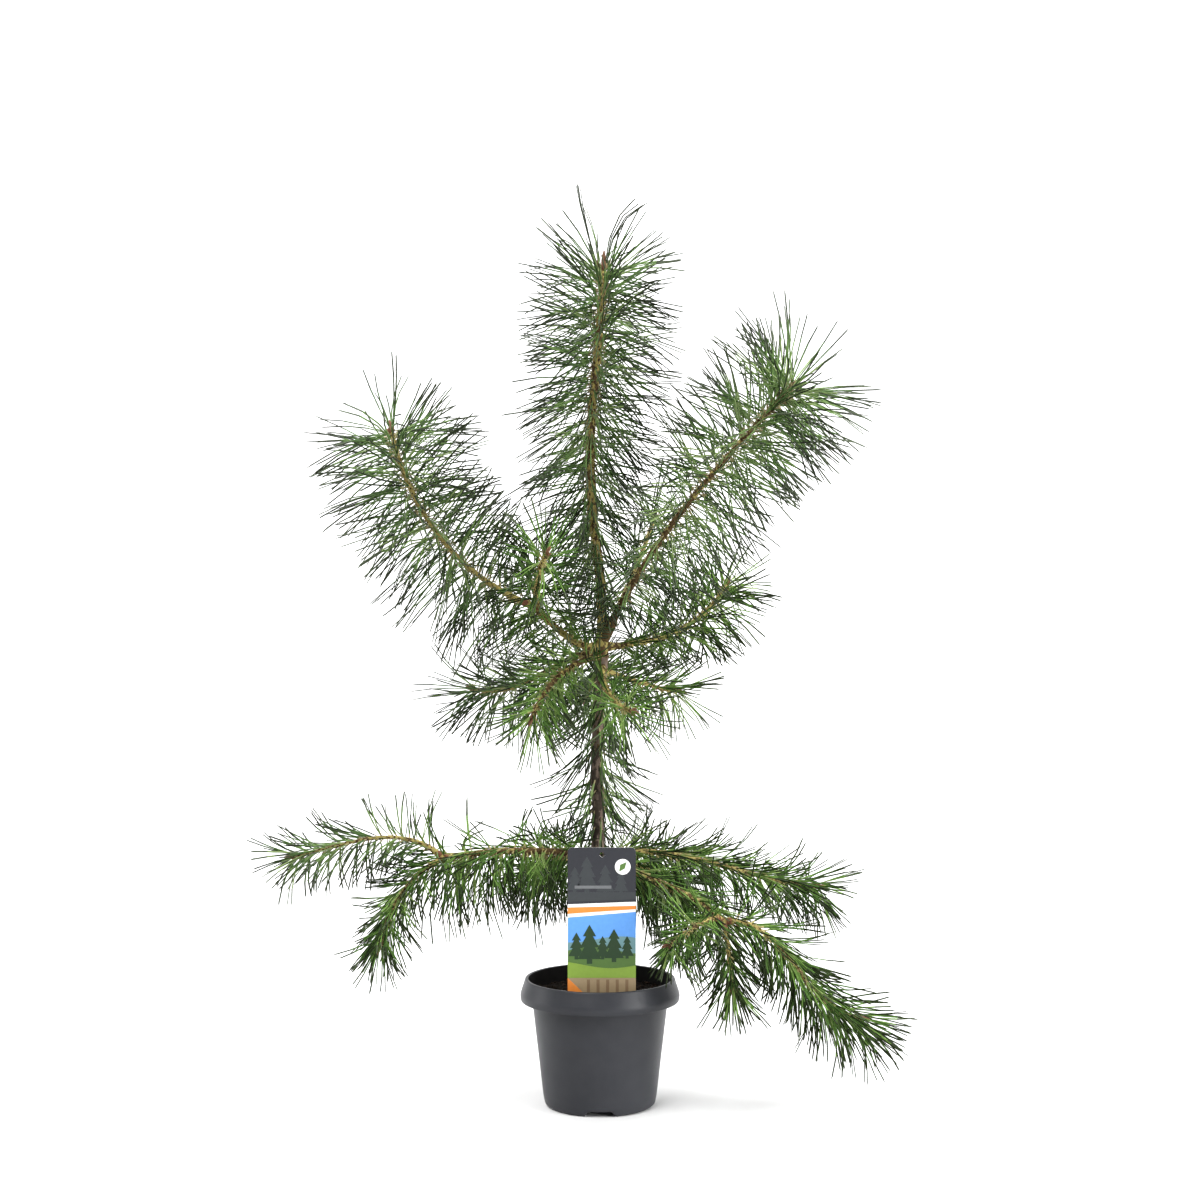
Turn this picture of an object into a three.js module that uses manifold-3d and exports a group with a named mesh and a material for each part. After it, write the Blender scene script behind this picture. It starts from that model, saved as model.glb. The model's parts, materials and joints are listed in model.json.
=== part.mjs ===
import * as THREE from "three";
import Module from "manifold-3d";

// Young scots pine, one metre tall, in a round black nursery pot with a picture label in the soil.
// Millimetres, +Z up, origin at the centre of the pot's underside, front of the plant toward -Y.

const GAP = 0.3;
const SEED = 4573;

// Pot: tapered wall, skirt rim that hangs free of the wall, foot ring with three notches.
const POT_HEIGHT = 148;
const POT_SIDES = 36;
const POT_WALL = 1.8;
const POT_FOOT_RADIUS = 66.5;
const POT_SHOULDER_RADIUS = 80;
const POT_OPENING_RADIUS = 84.6;
const POT_TOP_RADIUS = 88;
const POT_SKIRT_RADIUS = 94;
const POT_SKIRT_DROP = 26;
const POT_FLOOR = 10;
const FLOOR_THICK = 2.8;
const FOOT_WIDTH = 9;
const FOOT_NOTCHES = 3;
const NOTCH_HEIGHT = 6.6;
const NOTCH_TOP_WIDTH = 25;
const NOTCH_FOOT_WIDTH = 38;
const PAD_RADIUS = 16;
const DRAIN_HOLES = 6;
const DRAIN_RADIUS = 5;
const DRAIN_CIRCLE = 38;

const SOIL_TOP = 133;

// Label: thin card standing in front of the trunk, its tongue pushed into the soil.
const LABEL_WIDTH = 78;
const LABEL_TOP = 309;
const LABEL_THICK = 1;
const LABEL_X = 2;
const LABEL_Y = -62;
const LABEL_TONGUE = 34;
const LABEL_CORNER = 5;
const LABEL_HOLE_RADIUS = 3;

// Trunk: sideways sway and radius by height, straight from the soil to the leading bud.
const TRUNK_TOP = 984;
const TRUNK_SIDES = 8;
const SWAY_X = [1, -2, -2.4, -3.5, 1.8, 1, -9.2, -10.6, -2.5, 4];
const SWAY_Y = [0, 1, 2, 2, 0, -2, -3, -2, 0, 1];
const TRUNK_GIRTH = [
  [SOIL_TOP, 13], [141, 10], [158, 8.4], [272, 7.6], [289, 9], [308, 7.4], [500, 6.8], [530, 8.4],
  [562, 6.2], [700, 5.2], [900, 4.7], [TRUNK_TOP - 8, 3.8], [TRUNK_TOP, 4.4],
];
const LEADER_BASE = 582;
const LEADER_END = 974;
const LEADER_SKIN = 1.1;
const LINING_STEP = 22;
// Tips of the two longest needles, which rise over the leading bud from a little way below it.
const CROWN_TIPS = [[-26, -7, 1077], [55, -7, 1062]];
const CROWN_FOOT = 945;
const LEADER_RULE = { needle: 101, lean: [122, 70], fill: 0.6, tips: CROWN_TIPS, tipsFrom: CROWN_FOOT };
const BUD_LENGTH = 24;
const BUD_RADIUS = 3.9;
const SIDE_BUDS = 6;
const SIDE_BUD_RADIUS = 2.7;
const SIDE_BUD_OUT = 3;

// Boughs leave the trunk at a height. Heading turns from first to last value in degrees from +X,
// pitch runs through three values above the horizon, bare is the length without needles.
const BOUGHS = [
  { name: "upper_left", height: 536, heading: [-164, -163], pitch: [3, 39, 33], length: 97, bare: 24,
    girth: [4.6, 4], needle: 84, lean: [92, 78], fill: 0.56, droop: 0.15 },
  { name: "upper_right", height: 541, heading: [-27, -4], pitch: [62, 50, 46], length: 364, bare: 34,
    girth: [5, 3.3], needle: 112, lean: [98, 58], fill: 0.68, droop: 0.12 },
  { name: "upper_east", height: 537, heading: [26, 40], pitch: [3, 23, 62], length: 210, bare: 22,
    girth: [4.4, 2.9], needle: 74, lean: [88, 46], fill: 0.64, droop: 0.12 },
  { name: "upper_west", height: 531, heading: [138, 150], pitch: [-3, -23, 25], length: 214, bare: 22,
    girth: [4.4, 2.9], needle: 84, lean: [84, 46], fill: 0.64, droop: 0.3 },
  { name: "upper_front_left", height: 526, heading: [-132, -111],
    pitch: [-5, -28, -49], length: 165, bare: 20,
    girth: [4, 2.9], needle: 74, lean: [76, 46], fill: 0.62, droop: 0.35 },
  { name: "upper_front_right", height: 515, heading: [-90, -50], pitch: [-24, -23, 1], length: 134, bare: 18,
    girth: [3.8, 2.8], needle: 74, lean: [86, 44], fill: 0.66 },
  { name: "upper_small_right", height: 510, heading: [28, 24], pitch: [-17, -15, -4], length: 115, bare: 18,
    girth: [3.6, 2.7], needle: 70, lean: [78, 46], fill: 0.62, droop: 0.3 },
  { name: "upper_back_left", height: 529, heading: [93, 105], pitch: [-15, -23, -38], length: 166, bare: 20,
    girth: [4, 2.9], needle: 68, lean: [80, 42], fill: 0.6 },
  { name: "upper_back_right", height: 541, heading: [68, 63], pitch: [40, 43, 58], length: 226, bare: 26,
    girth: [4.4, 3], needle: 84, lean: [94, 50], fill: 0.62 },
  { name: "lower_left", height: 290, heading: [-165, -163], pitch: [10, 1, -7], length: 177, bare: 30,
    girth: [4.8, 4], needle: 100, lean: [84, 62], fill: 0.66, droop: 0.85 },
  { name: "lower_right", height: 288, heading: [-24, -30], pitch: [-17, -19, -35], length: 163, bare: 28,
    girth: [4.8, 4], needle: 82, lean: [66, 56], fill: 0.64, droop: 0.9 },
  { name: "lower_east", height: 292, heading: [15, 14], pitch: [7, -16, -3], length: 286, bare: 34,
    girth: [4.4, 2.8], needle: 70, lean: [64, 44], fill: 0.56, droop: 0.4, ease: 2 },
  { name: "lower_back_left", height: 287, heading: [116, 116], pitch: [-4, -14, -24], length: 210, bare: 42,
    girth: [4.4, 2.9], needle: 66, lean: [74, 38], fill: 0.56, droop: 0.2 },
  { name: "lower_back_right", height: 285, heading: [60, 56], pitch: [-8, -16, -22], length: 218, bare: 42,
    girth: [4.4, 2.9], needle: 66, lean: [74, 38], fill: 0.56, droop: 0.2 },
];

// Shoots start at a share of the way along an earlier limb, 1 being its end.
const SHOOTS = [
  { name: "upper_left_tip", from: "upper_left", at: 1, heading: [-168, -178],
    pitch: [22, 54, 81], length: 280, girth: [3.9, 3.3], needle: 112, lean: [98, 58], fill: 0.68,
    droop: 0.12 },
  { name: "upper_left_front", from: "upper_left", at: 0.84, heading: [-98, -59],
    pitch: [39, 38, 36], length: 116, girth: [3.2, 2.8], needle: 74, lean: [86, 48], fill: 0.66 },
  { name: "lower_left_tip", from: "lower_left", at: 1, side: 1, heading: [-177, -190], pitch: [45, -11, -4],
    length: 194, girth: [3.6, 2.8], needle: 62, lean: [74, 34], fill: 0.5, droop: 0.25, ease: 1.2 },
  { name: "lower_left_front", from: "lower_left", at: 1, side: -1, heading: [-146, -106],
    pitch: [-16, -44, -64], length: 148, girth: [3.2, 2.7], needle: 58, lean: [50, 28], fill: 0.54,
    droop: 0.1, ease: 1.5 },
  { name: "lower_right_front", from: "lower_right", at: 0.97, heading: [-131, -129], pitch: [10, -16, -1],
    length: 110, girth: [3, 2.6], needle: 68, lean: [62, 34], fill: 0.54, droop: 0.65, ease: 2 },
  { name: "lower_right_tip", from: "lower_right", at: 1, side: 1, heading: [-16, -11], pitch: [8, -52, 11],
    length: 203, girth: [3.5, 2.8], needle: 78, lean: [60, 36], fill: 0.56, droop: 0.4, ease: 1.5 },
  { name: "lower_right_drop", from: "lower_right", at: 1, side: -1, heading: [-77, -82],
    pitch: [-60, -61, -65], length: 92, girth: [3, 2.6], needle: 62, lean: [46, 26], fill: 0.54,
    droop: 0.25, ease: 1.5 },
];

// Needles on the trunk between the whorls sit on slim cores that run down its bark, each at its own heading.
const TRUNK_SPRAYS = [
  { name: "trunk_needles_right", heading: 8, span: [484, 318], needle: 82, lean: [42, 54], fill: 0.28 },
  { name: "trunk_needles_left", heading: 168, span: [482, 320], needle: 82, lean: [42, 54], fill: 0.28 },
  { name: "trunk_needles_back", heading: 84, span: [476, 326], needle: 78, lean: [40, 48], fill: 0.22 },
];
const TRUNK_CORE = 1.3;

const LEAN_EASE = 3;
const RING_STEP = 7;
const STEM_SIDES = 5;
const SHOOT_FOOT = 1.6;
const BOUGH_SIDES = 8;
const BUD_RINGS = [[13, 0.82], [9, 1.22], [4.5, 0.95], [1.6, 0.4]];
const NEEDLE_GAP = 0.25;
const NEEDLE_SPREAD = 18;
const TIP_SPREAD = 64;
const SPACE_MARGIN = 2.2;

const NEEDLE_GREEN = 0x35502f;
const BARK_BROWN = 0x5a4534;
const TRUNK_BROWN = 0x473a2e;
const POT_BLACK = 0x2b2c2e;
const SOIL_BROWN = 0x241b15;
const LABEL_GREY = 0x55585c;

const wasm = await Module();
wasm.setup();

const group = new THREE.Group();
group.name = "potted_scots_pine";

function mix(a, b, s) {
  return a + (b - a) * s;
}

function through(a, b, c, s) {
  return a * (1 - s) * (1 - 2 * s) + 4 * b * s * (1 - s) + c * s * (2 * s - 1);
}

function chance(seed) {
  let state = seed >>> 0;
  return () => {
    state = (state + 0x6d2b79f5) >>> 0;
    let t = state;
    t = Math.imul(t ^ (t >>> 15), t | 1);
    t ^= t + Math.imul(t ^ (t >>> 7), t | 61);
    return ((t ^ (t >>> 14)) >>> 0) / 4294967296;
  };
}

function steps(table, x) {
  const last = table.length - 1;
  if (x <= table[0][0]) return table[0][1];
  for (let i = 0; i < last; i += 1) {
    const [x0, y0] = table[i];
    const [x1, y1] = table[i + 1];
    if (x <= x1) return mix(y0, y1, (x - x0) / (x1 - x0));
  }
  return table[last][1];
}

function add(name, geometry, color, roughness) {
  const material = new THREE.MeshStandardMaterial({ color, roughness, metalness: 0 });
  const mesh = new THREE.Mesh(geometry, material);
  mesh.name = name;
  group.add(mesh);
}

// Curves.

function curveFrom(points) {
  const reach = [0];
  for (let i = 1; i < points.length; i += 1) {
    reach.push(reach[i - 1] + points[i].distanceTo(points[i - 1]));
  }
  const length = reach[points.length - 1];
  const at = (d) => {
    let i = 1;
    while (i < points.length - 1 && reach[i] < d) i += 1;
    const along = (d - reach[i - 1]) / (reach[i] - reach[i - 1]);
    const point = points[i - 1].clone().lerp(points[i], along);
    const tangent = points[i].clone().sub(points[i - 1]).normalize();
    return { point, tangent };
  };
  return { points, length, at };
}

function heads(turn, rise) {
  const t = THREE.MathUtils.degToRad(turn);
  const r = THREE.MathUtils.degToRad(rise);
  return new THREE.Vector3(Math.cos(r) * Math.cos(t), Math.cos(r) * Math.sin(t), Math.sin(r));
}

function limbCurve(start, spec) {
  const count = Math.round(spec.length / 3);
  const points = [start.clone()];
  for (let i = 0; i < count; i += 1) {
    const s = (i + 0.5) / count;
    const turn = mix(spec.heading[0], spec.heading[1], s);
    const step = heads(turn, through(...spec.pitch, s));
    points.push(points[i].clone().addScaledVector(step, spec.length / count));
  }
  return curveFrom(points);
}

function trunkPoint(z) {
  const spans = SWAY_X.length - 1;
  const s = (z - SOIL_TOP) / (TRUNK_TOP - SOIL_TOP) * spans;
  const i = Math.min(spans - 1, Math.floor(s));
  const pick = (list, k) => list[Math.max(0, Math.min(spans, k))];
  const bend = (list) => {
    const [a, b, c, d] = [pick(list, i - 1), pick(list, i), pick(list, i + 1), pick(list, i + 2)];
    const u = s - i;
    return b + 0.5 * u * (c - a + u * (2 * a - 5 * b + 4 * c - d + u * (3 * (b - c) + d - a)));
  };
  return new THREE.Vector3(bend(SWAY_X), bend(SWAY_Y), z);
}

// Surfaces: rings of corners along a curve, joined by facets that face outward.

function ringsAlong(curve, stations, radiusAt, sides) {
  const rings = [];
  let normal = null;
  for (const d of stations) {
    const { point, tangent } = curve.at(d);
    if (!normal) normal = new THREE.Vector3(Math.abs(tangent.z) > 0.9 ? 1 : 0, 0, 1).cross(tangent);
    normal.addScaledVector(tangent, -normal.dot(tangent)).normalize();
    const other = tangent.clone().cross(normal);
    const corners = [];
    for (let k = 0; k < sides; k += 1) {
      const a = 2 * Math.PI * k / sides;
      const out = normal.clone().multiplyScalar(Math.cos(a)).addScaledVector(other, Math.sin(a));
      corners.push(point.clone().addScaledVector(out, radiusAt(d)));
    }
    rings.push({ d, point, tangent, corners });
  }
  return rings;
}

function skin(body, rings, flip) {
  const facets = [];
  const sides = rings[0].corners.length;
  const first = body.vertices.length;
  for (const ring of rings) body.vertices.push(...ring.corners);
  for (let i = 0; i < rings.length - 1; i += 1) {
    for (let k = 0; k < sides; k += 1) {
      const a = first + i * sides + k;
      const b = first + i * sides + (k + 1) % sides;
      const c = b + sides;
      const d = a + sides;
      const pair = (i + k) % 2 ? [[a, b, c], [a, c, d]] : [[a, b, d], [b, c, d]];
      for (const face of pair) facets.push({ face: flip ? [face[0], face[2], face[1]] : face, ring: i });
    }
  }
  return { first, sides, count: rings.length, facets };
}

function closeFlat(body, centre, start, sides, facesBack) {
  const hub = body.vertices.length;
  body.vertices.push(centre.clone());
  for (let k = 0; k < sides; k += 1) {
    const a = start + k;
    const b = start + (k + 1) % sides;
    body.faces.push(facesBack ? [hub, b, a] : [hub, a, b]);
  }
}

function closeRing(body, outer, inner, sides, facesBack) {
  for (let k = 0; k < sides; k += 1) {
    const n = (k + 1) % sides;
    const quad = [[outer + k, outer + n, inner + n], [outer + k, inner + n, inner + k]];
    for (const face of quad) body.faces.push(facesBack ? [face[0], face[2], face[1]] : face);
  }
}

function geometryOf(body) {
  const geometry = new THREE.BufferGeometry();
  const flat = body.vertices.flatMap((v) => [v.x, v.y, v.z]);
  geometry.setAttribute("position", new THREE.Float32BufferAttribute(flat, 3));
  geometry.setIndex(body.faces.flat());
  geometry.computeVertexNormals();
  return geometry;
}

function evenly(from, to, step) {
  const count = Math.max(1, Math.round((to - from) / step));
  return Array.from({ length: count + 1 }, (_, i) => mix(from, to, i / count));
}

// Needles: a chosen facet of a core is drawn out to a point. The facets left over stay as bark.

function cornersGap(a, b, axis) {
  let [minA, maxA, minB, maxB] = [Infinity, -Infinity, Infinity, -Infinity];
  for (let i = 0; i < 4; i += 1) {
    const p = a[i].dot(axis);
    const q = b[i].dot(axis);
    minA = Math.min(minA, p);
    maxA = Math.max(maxA, p);
    minB = Math.min(minB, q);
    maxB = Math.max(maxB, q);
  }
  return Math.max(minB - maxA, minA - maxB);
}

const EDGES = [[0, 1], [0, 2], [1, 2], [0, 3], [1, 3], [2, 3]];
const SIDES = [[0, 1, 2], [0, 1, 3], [0, 2, 3], [1, 2, 3]];

function spikesApart(a, b, clear) {
  const axis = new THREE.Vector3();
  const one = new THREE.Vector3();
  const two = new THREE.Vector3();
  for (const spike of [a, b]) {
    for (const [i, j, k] of SIDES) {
      one.subVectors(spike[j], spike[i]);
      two.subVectors(spike[k], spike[i]);
      axis.crossVectors(one, two).normalize();
      if (cornersGap(a, b, axis) >= clear) return true;
    }
  }
  for (const [i, j] of EDGES) {
    one.subVectors(a[j], a[i]);
    for (const [k, l] of EDGES) {
      two.subVectors(b[l], b[k]);
      axis.crossVectors(one, two);
      if (axis.lengthSq() < 1e-6) continue;
      axis.normalize();
      if (cornersGap(a, b, axis) >= clear) return true;
    }
  }
  return false;
}

function distanceTo(point, samples) {
  let best = Infinity;
  for (const sample of samples) best = Math.min(best, point.distanceToSquared(sample));
  return Math.sqrt(best);
}

function inPotOrLabel(point) {
  const r = Math.hypot(point.x, point.y);
  if (point.z < SOIL_TOP + 6 && r < POT_SKIRT_RADIUS + 3) return true;
  if (point.z < POT_HEIGHT + 2 && r < POT_SKIRT_RADIUS + 3 && r > POT_OPENING_RADIUS - 4) return true;
  const besideLabel = Math.abs(point.x - LABEL_X) < LABEL_WIDTH / 2 + 2 && Math.abs(point.y - LABEL_Y) < 3;
  return besideLabel && point.z < LABEL_TOP + 3;
}

// Every stem and limb leaves samples of its axis here, so a mass can keep to its own space.
const stems = [];
const limbs = [];

function keepsClear(stem, base, tip) {
  for (let i = 0; i <= 24; i += 1) {
    if (inPotOrLabel(base.clone().lerp(tip, i / 24))) return false;
  }
  for (const s of [0.12, 0.3, 0.5, 0.7, 0.85, 1]) {
    const point = base.clone().lerp(tip, s);
    const own = distanceTo(point, stem.samples);
    if (s > 0.4 && own < stem.radius + 3) return false;
    for (const other of stems) {
      if (other === stem || !other.box.containsPoint(point)) continue;
      if (distanceTo(point, other.samples) < own + SPACE_MARGIN) return false;
    }
    for (const limb of limbs) {
      if (limb === stem.around || !limb.box.containsPoint(point)) continue;
      if (distanceTo(point, limb.samples) < limb.radius + 2.5) return false;
    }
    const { around } = stem;
    if (s > 0.4 && around && distanceTo(point, around.samples) < around.radius + 3) return false;
  }
  return true;
}

function growNeedles(body, surface, rings, stem, rule, random) {
  const order = surface.facets.map((facet) => ({ facet, key: random() }));
  order.sort((a, b) => a.key - b.key);
  const grown = [];
  const length = rings[rings.length - 1].d - rings[0].d;
  const down = new THREE.Vector3(0, 0, -1);
  const cornersOf = (facet) => facet.face.map((i) => body.vertices[i]);
  const middleOf = ([a, b, c]) => a.clone().add(b).add(c).divideScalar(3);
  const draw = (facet, spike, box) => {
    grown.push({ facet, spike, box });
    const top = body.vertices.length;
    body.vertices.push(spike[3]);
    const [a, b, c] = facet.face;
    body.faces.push([a, b, top], [b, c, top], [c, a, top]);
  };
  for (const [x, y, z] of rule.tips ?? []) {
    const tip = new THREE.Vector3(x, y, z);
    const level = surface.facets.filter((facet) => Math.abs(rings[facet.ring].point.z - rule.tipsFrom) < 6);
    const far = (facet) => middleOf(cornersOf(facet)).distanceTo(tip);
    const facet = level.reduce((best, next) => (far(next) < far(best) ? next : best));
    const spike = [...cornersOf(facet), tip];
    draw(facet, spike, new THREE.Box3().setFromPoints(spike));
  }
  for (const { facet } of order) {
    if (grown.some((other) => other.facet === facet)) continue;
    const corners = cornersOf(facet);
    const base = middleOf(corners);
    const ring = rings[facet.ring];
    const wanted = facet.ring < rule.lastRing && random() < rule.fill;
    let placed = false;
    for (let attempt = 0; wanted && !placed && attempt < 7; attempt += 1) {
      const s = (ring.d - rings[0].d) / length;
      const out = base.clone().sub(ring.point);
      out.addScaledVector(ring.tangent, -out.dot(ring.tangent)).normalize();
      out.applyAxisAngle(ring.tangent, (random() - 0.5) * 0.5);
      const spread = (random() - 0.5) * mix(NEEDLE_SPREAD, TIP_SPREAD, s ** 4);
      const tilt = mix(rule.lean[0], rule.lean[1], s ** (rule.ease ?? LEAN_EASE)) + spread;
      const lean = THREE.MathUtils.degToRad(tilt);
      const way = ring.tangent.clone().multiplyScalar(Math.cos(lean)).addScaledVector(out, Math.sin(lean));
      way.addScaledVector(down, rule.droop ?? 0).normalize();
      const reach = rule.needle * (0.84 + 0.22 * random()) * (attempt > 3 ? 0.72 : 1);
      const tip = base.clone().addScaledVector(way, reach);
      const spike = [...corners, tip];
      if (!keepsClear(stem, base, tip)) continue;
      const box = new THREE.Box3().setFromPoints(spike);
      const free = grown.every((other) => {
        if (!box.intersectsBox(other.box)) return true;
        const shared = other.spike.slice(0, 3).filter((p) => corners.includes(p)).length;
        if (shared && tip.distanceTo(other.spike[3]) < 3) return false;
        return spikesApart(spike, other.spike, shared ? -1e-6 : NEEDLE_GAP);
      });
      if (!free) continue;
      draw(facet, spike, box);
      placed = true;
    }
    if (!placed) body.faces.push(facet.face);
  }
  return grown.length;
}

function leaveSamples(list, curve, from, to, radius, extra) {
  const samples = evenly(from, to, 3).map((d) => curve.at(d).point);
  const box = new THREE.Box3().setFromPoints(samples).expandByScalar(240);
  const entry = { samples, radius, box, ...extra };
  list.push(entry);
  return entry;
}

// Trunk.

const trunkSamples = evenly(SOIL_TOP + GAP, TRUNK_TOP, 4).map(trunkPoint);
const trunkCurve = curveFrom(trunkSamples);
const trunkRadius = (d) => steps(TRUNK_GIRTH, trunkCurve.at(d).point.z);
const trunkEntry = leaveSamples(limbs, trunkCurve, 0, trunkCurve.length, 8.5, {});
const trunkPart = (z) => Math.max(0, z - SOIL_TOP - GAP) / (TRUNK_TOP - SOIL_TOP - GAP) * trunkCurve.length;
const leaderFrom = trunkPart(LEADER_BASE);
const leaderTo = trunkPart(LEADER_END);

function toManifold(geometry) {
  const index = geometry.index;
  const mesh = new wasm.Mesh({
    numProp: 3,
    vertProperties: new Float32Array(geometry.attributes.position.array),
    triVerts: new Uint32Array(index.array),
  });
  mesh.merge();
  return new wasm.Manifold(mesh);
}

function fromManifold(solid) {
  const mesh = solid.getMesh();
  const geometry = new THREE.BufferGeometry();
  geometry.setAttribute("position", new THREE.BufferAttribute(mesh.vertProperties, 3));
  geometry.setIndex(new THREE.BufferAttribute(mesh.triVerts, 1));
  geometry.computeVertexNormals();
  return geometry;
}

function budGeometry(length, radius) {
  const profile = [[0, -4], [0.55, -2], [0.8, 0.12 * length], [1, 0.34 * length]];
  profile.push([0.62, 0.74 * length], [0, length]);
  const points = profile.map(([r, z]) => new THREE.Vector2(r * radius, z));
  const bud = new THREE.LatheGeometry(points, 7);
  bud.rotateX(Math.PI / 2);
  bud.deleteAttribute("normal");
  bud.deleteAttribute("uv");
  return bud;
}

const trunkStations = [
  0, 4, 9, 17, 28, 60, 100, 138, 150, 158, 176, 220, 265, 310, 352, 370, 386, 398, 410,
  ...evenly(leaderFrom, leaderTo, LINING_STEP), trunkCurve.length,
];
const trunkRings = ringsAlong(trunkCurve, trunkStations, trunkRadius, TRUNK_SIDES);
for (const corner of trunkRings[0].corners) corner.z = SOIL_TOP + GAP;

function buildTrunk() {
  const rings = trunkRings;
  const body = { vertices: [], faces: [] };
  const surface = skin(body, rings, false);
  for (const facet of surface.facets) body.faces.push(facet.face);
  const footCentre = rings[0].point.clone().setZ(SOIL_TOP + GAP);
  closeFlat(body, footCentre, surface.first, TRUNK_SIDES, true);
  const endStart = surface.first + (surface.count - 1) * TRUNK_SIDES;
  closeFlat(body, rings[rings.length - 1].point, endStart, TRUNK_SIDES, false);
  let solid = toManifold(geometryOf(body));
  const crown = trunkCurve.at(trunkCurve.length).point;
  for (let i = 0; i <= SIDE_BUDS; i += 1) {
    const middle = i === SIDE_BUDS;
    const share = middle ? 1 : 0.55 + 0.08 * (i % 3);
    const bud = budGeometry(BUD_LENGTH * share, middle ? BUD_RADIUS : SIDE_BUD_RADIUS);
    if (!middle) {
      bud.rotateY(THREE.MathUtils.degToRad(24 + 7 * (i % 2)));
      bud.translate(SIDE_BUD_OUT, 0, -1 - (i % 2));
      bud.rotateZ(2 * Math.PI * i / SIDE_BUDS);
    }
    bud.translate(crown.x, crown.y, crown.z);
    solid = solid.add(toManifold(mergedAtSeam(bud)));
  }
  return fromManifold(solid);
}

function mergedAtSeam(geometry) {
  const position = geometry.attributes.position;
  const seen = new Map();
  const vertices = [];
  const remap = [];
  for (let i = 0; i < position.count; i += 1) {
    const p = new THREE.Vector3().fromBufferAttribute(position, i);
    const key = [p.x, p.y, p.z].map((v) => Math.round(v * 1e4)).join();
    if (!seen.has(key)) {
      seen.set(key, vertices.length);
      vertices.push(p);
    }
    remap.push(seen.get(key));
  }
  const faces = [];
  const index = geometry.index.array;
  for (let i = 0; i < index.length; i += 3) {
    const face = [remap[index[i]], remap[index[i + 1]], remap[index[i + 2]]];
    if (new Set(face).size === 3) faces.push(face);
  }
  return geometryOf({ vertices, faces });
}

add("trunk", buildTrunk(), TRUNK_BROWN, 0.85);

// Boughs and masses: limb curves first, so that every mass knows the space of the others.

const plan = [];

function outsideBy(rings, point) {
  let i = 0;
  while (i < rings.length - 2 && point.clone().sub(rings[i + 1].point).dot(rings[i + 1].tangent) > 0) i += 1;
  const [near, far] = [rings[i].corners, rings[i + 1].corners];
  let best = -Infinity;
  for (let k = 0; k < near.length; k += 1) {
    const edge = near[(k + 1) % near.length].clone().sub(near[k]);
    const normal = edge.cross(far[k].clone().sub(near[k])).normalize();
    best = Math.max(best, point.clone().sub(near[k]).dot(normal));
  }
  return best;
}

// The foot of a limb slides out along its own way until its flat end is just clear of the parent's bark.
function seatOn(rings, origin, spec, radius, sides) {
  const way = heads(spec.heading[0], spec.pitch[0]);
  const [ring] = ringsAlong(limbCurve(origin, spec), [0], () => radius, sides);
  for (let out = 0; out < 40; out += 0.04) {
    const shift = way.clone().multiplyScalar(out);
    const clear = ring.corners.every((corner) => outsideBy(rings, corner.clone().add(shift)) >= GAP);
    if (clear) return origin.clone().add(shift);
  }
  return origin.clone();
}

function taperStart(spec, d, radius) {
  const slim = spec.from && (spec.at < 1 || spec.side);
  return slim ? Math.min(radius, SHOOT_FOOT + d * 0.28) : radius;
}

function stemRings(item) {
  const { spec, curve, from, radiusAt, forked } = item;
  const end = curve.length;
  const stations = evenly(from, forked ? end : end - BUD_RINGS[0][0], RING_STEP);
  const budRadius = new Map();
  if (!forked) {
    for (const [back, swell] of BUD_RINGS) budRadius.set(end - back, spec.girth[1] * swell);
    stations.push(...[...budRadius.keys()].slice(1));
  }
  const radius = (d) => budRadius.get(d) ?? taperStart(spec, d, radiusAt(d));
  return ringsAlong(curve, stations, radius, STEM_SIDES);
}

function planLimb(spec, start) {
  const curve = limbCurve(start, spec);
  const bare = spec.bare ?? 0;
  const radiusAt = (d) => mix(spec.girth[0], spec.girth[1], d / curve.length);
  const forked = SHOOTS.some((shoot) => shoot.from === spec.name && shoot.at === 1);
  const item = { spec, curve, bare, radiusAt, forked, from: bare ? bare + GAP : 0 };
  if (bare) leaveSamples(limbs, curve, 0, bare, spec.girth[0], {});
  item.rings = stemRings(item);
  item.stem = leaveSamples(stems, curve, item.from, curve.length, spec.girth[1], {});
  plan.push(item);
}

for (const spec of BOUGHS) {
  planLimb(spec, seatOn(trunkRings, trunkPoint(spec.height), spec, spec.girth[0], BOUGH_SIDES));
}

for (const spec of SHOOTS) {
  const parent = plan.find((item) => item.spec.name === spec.from);
  const { point, tangent } = parent.curve.at(spec.at * parent.curve.length);
  const way = heads(spec.heading[0], spec.pitch[0]);
  const tilt = Math.sqrt(Math.max(0, 1 - way.dot(tangent) ** 2));
  const foot = spec.side ? SHOOT_FOOT : spec.girth[0];
  let start = point.clone().addScaledVector(tangent, GAP + foot * tilt);
  if (spec.at < 1) {
    start = seatOn(parent.rings, point, spec, SHOOT_FOOT, STEM_SIDES);
  } else if (spec.side) {
    const across = way.clone().addScaledVector(tangent, -way.dot(tangent)).normalize();
    start.addScaledVector(across, SHOOT_FOOT + 0.5);
  }
  planLimb(spec, start);
}

const leaderStem = leaveSamples(stems, trunkCurve, leaderFrom, leaderTo, 6, { around: trunkEntry });

const sprays = TRUNK_SPRAYS.map((spray) => {
  const out = heads(spray.heading, 0);
  const points = evenly(spray.span[0], spray.span[1], -8).map((z) => {
    const away = steps(TRUNK_GIRTH, z) + GAP + TRUNK_CORE;
    return trunkPoint(z).addScaledVector(out, away);
  });
  const curve = curveFrom(points);
  const stem = leaveSamples(stems, curve, 0, curve.length, TRUNK_CORE, { around: trunkEntry });
  return { spray, curve, stem };
});

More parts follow.
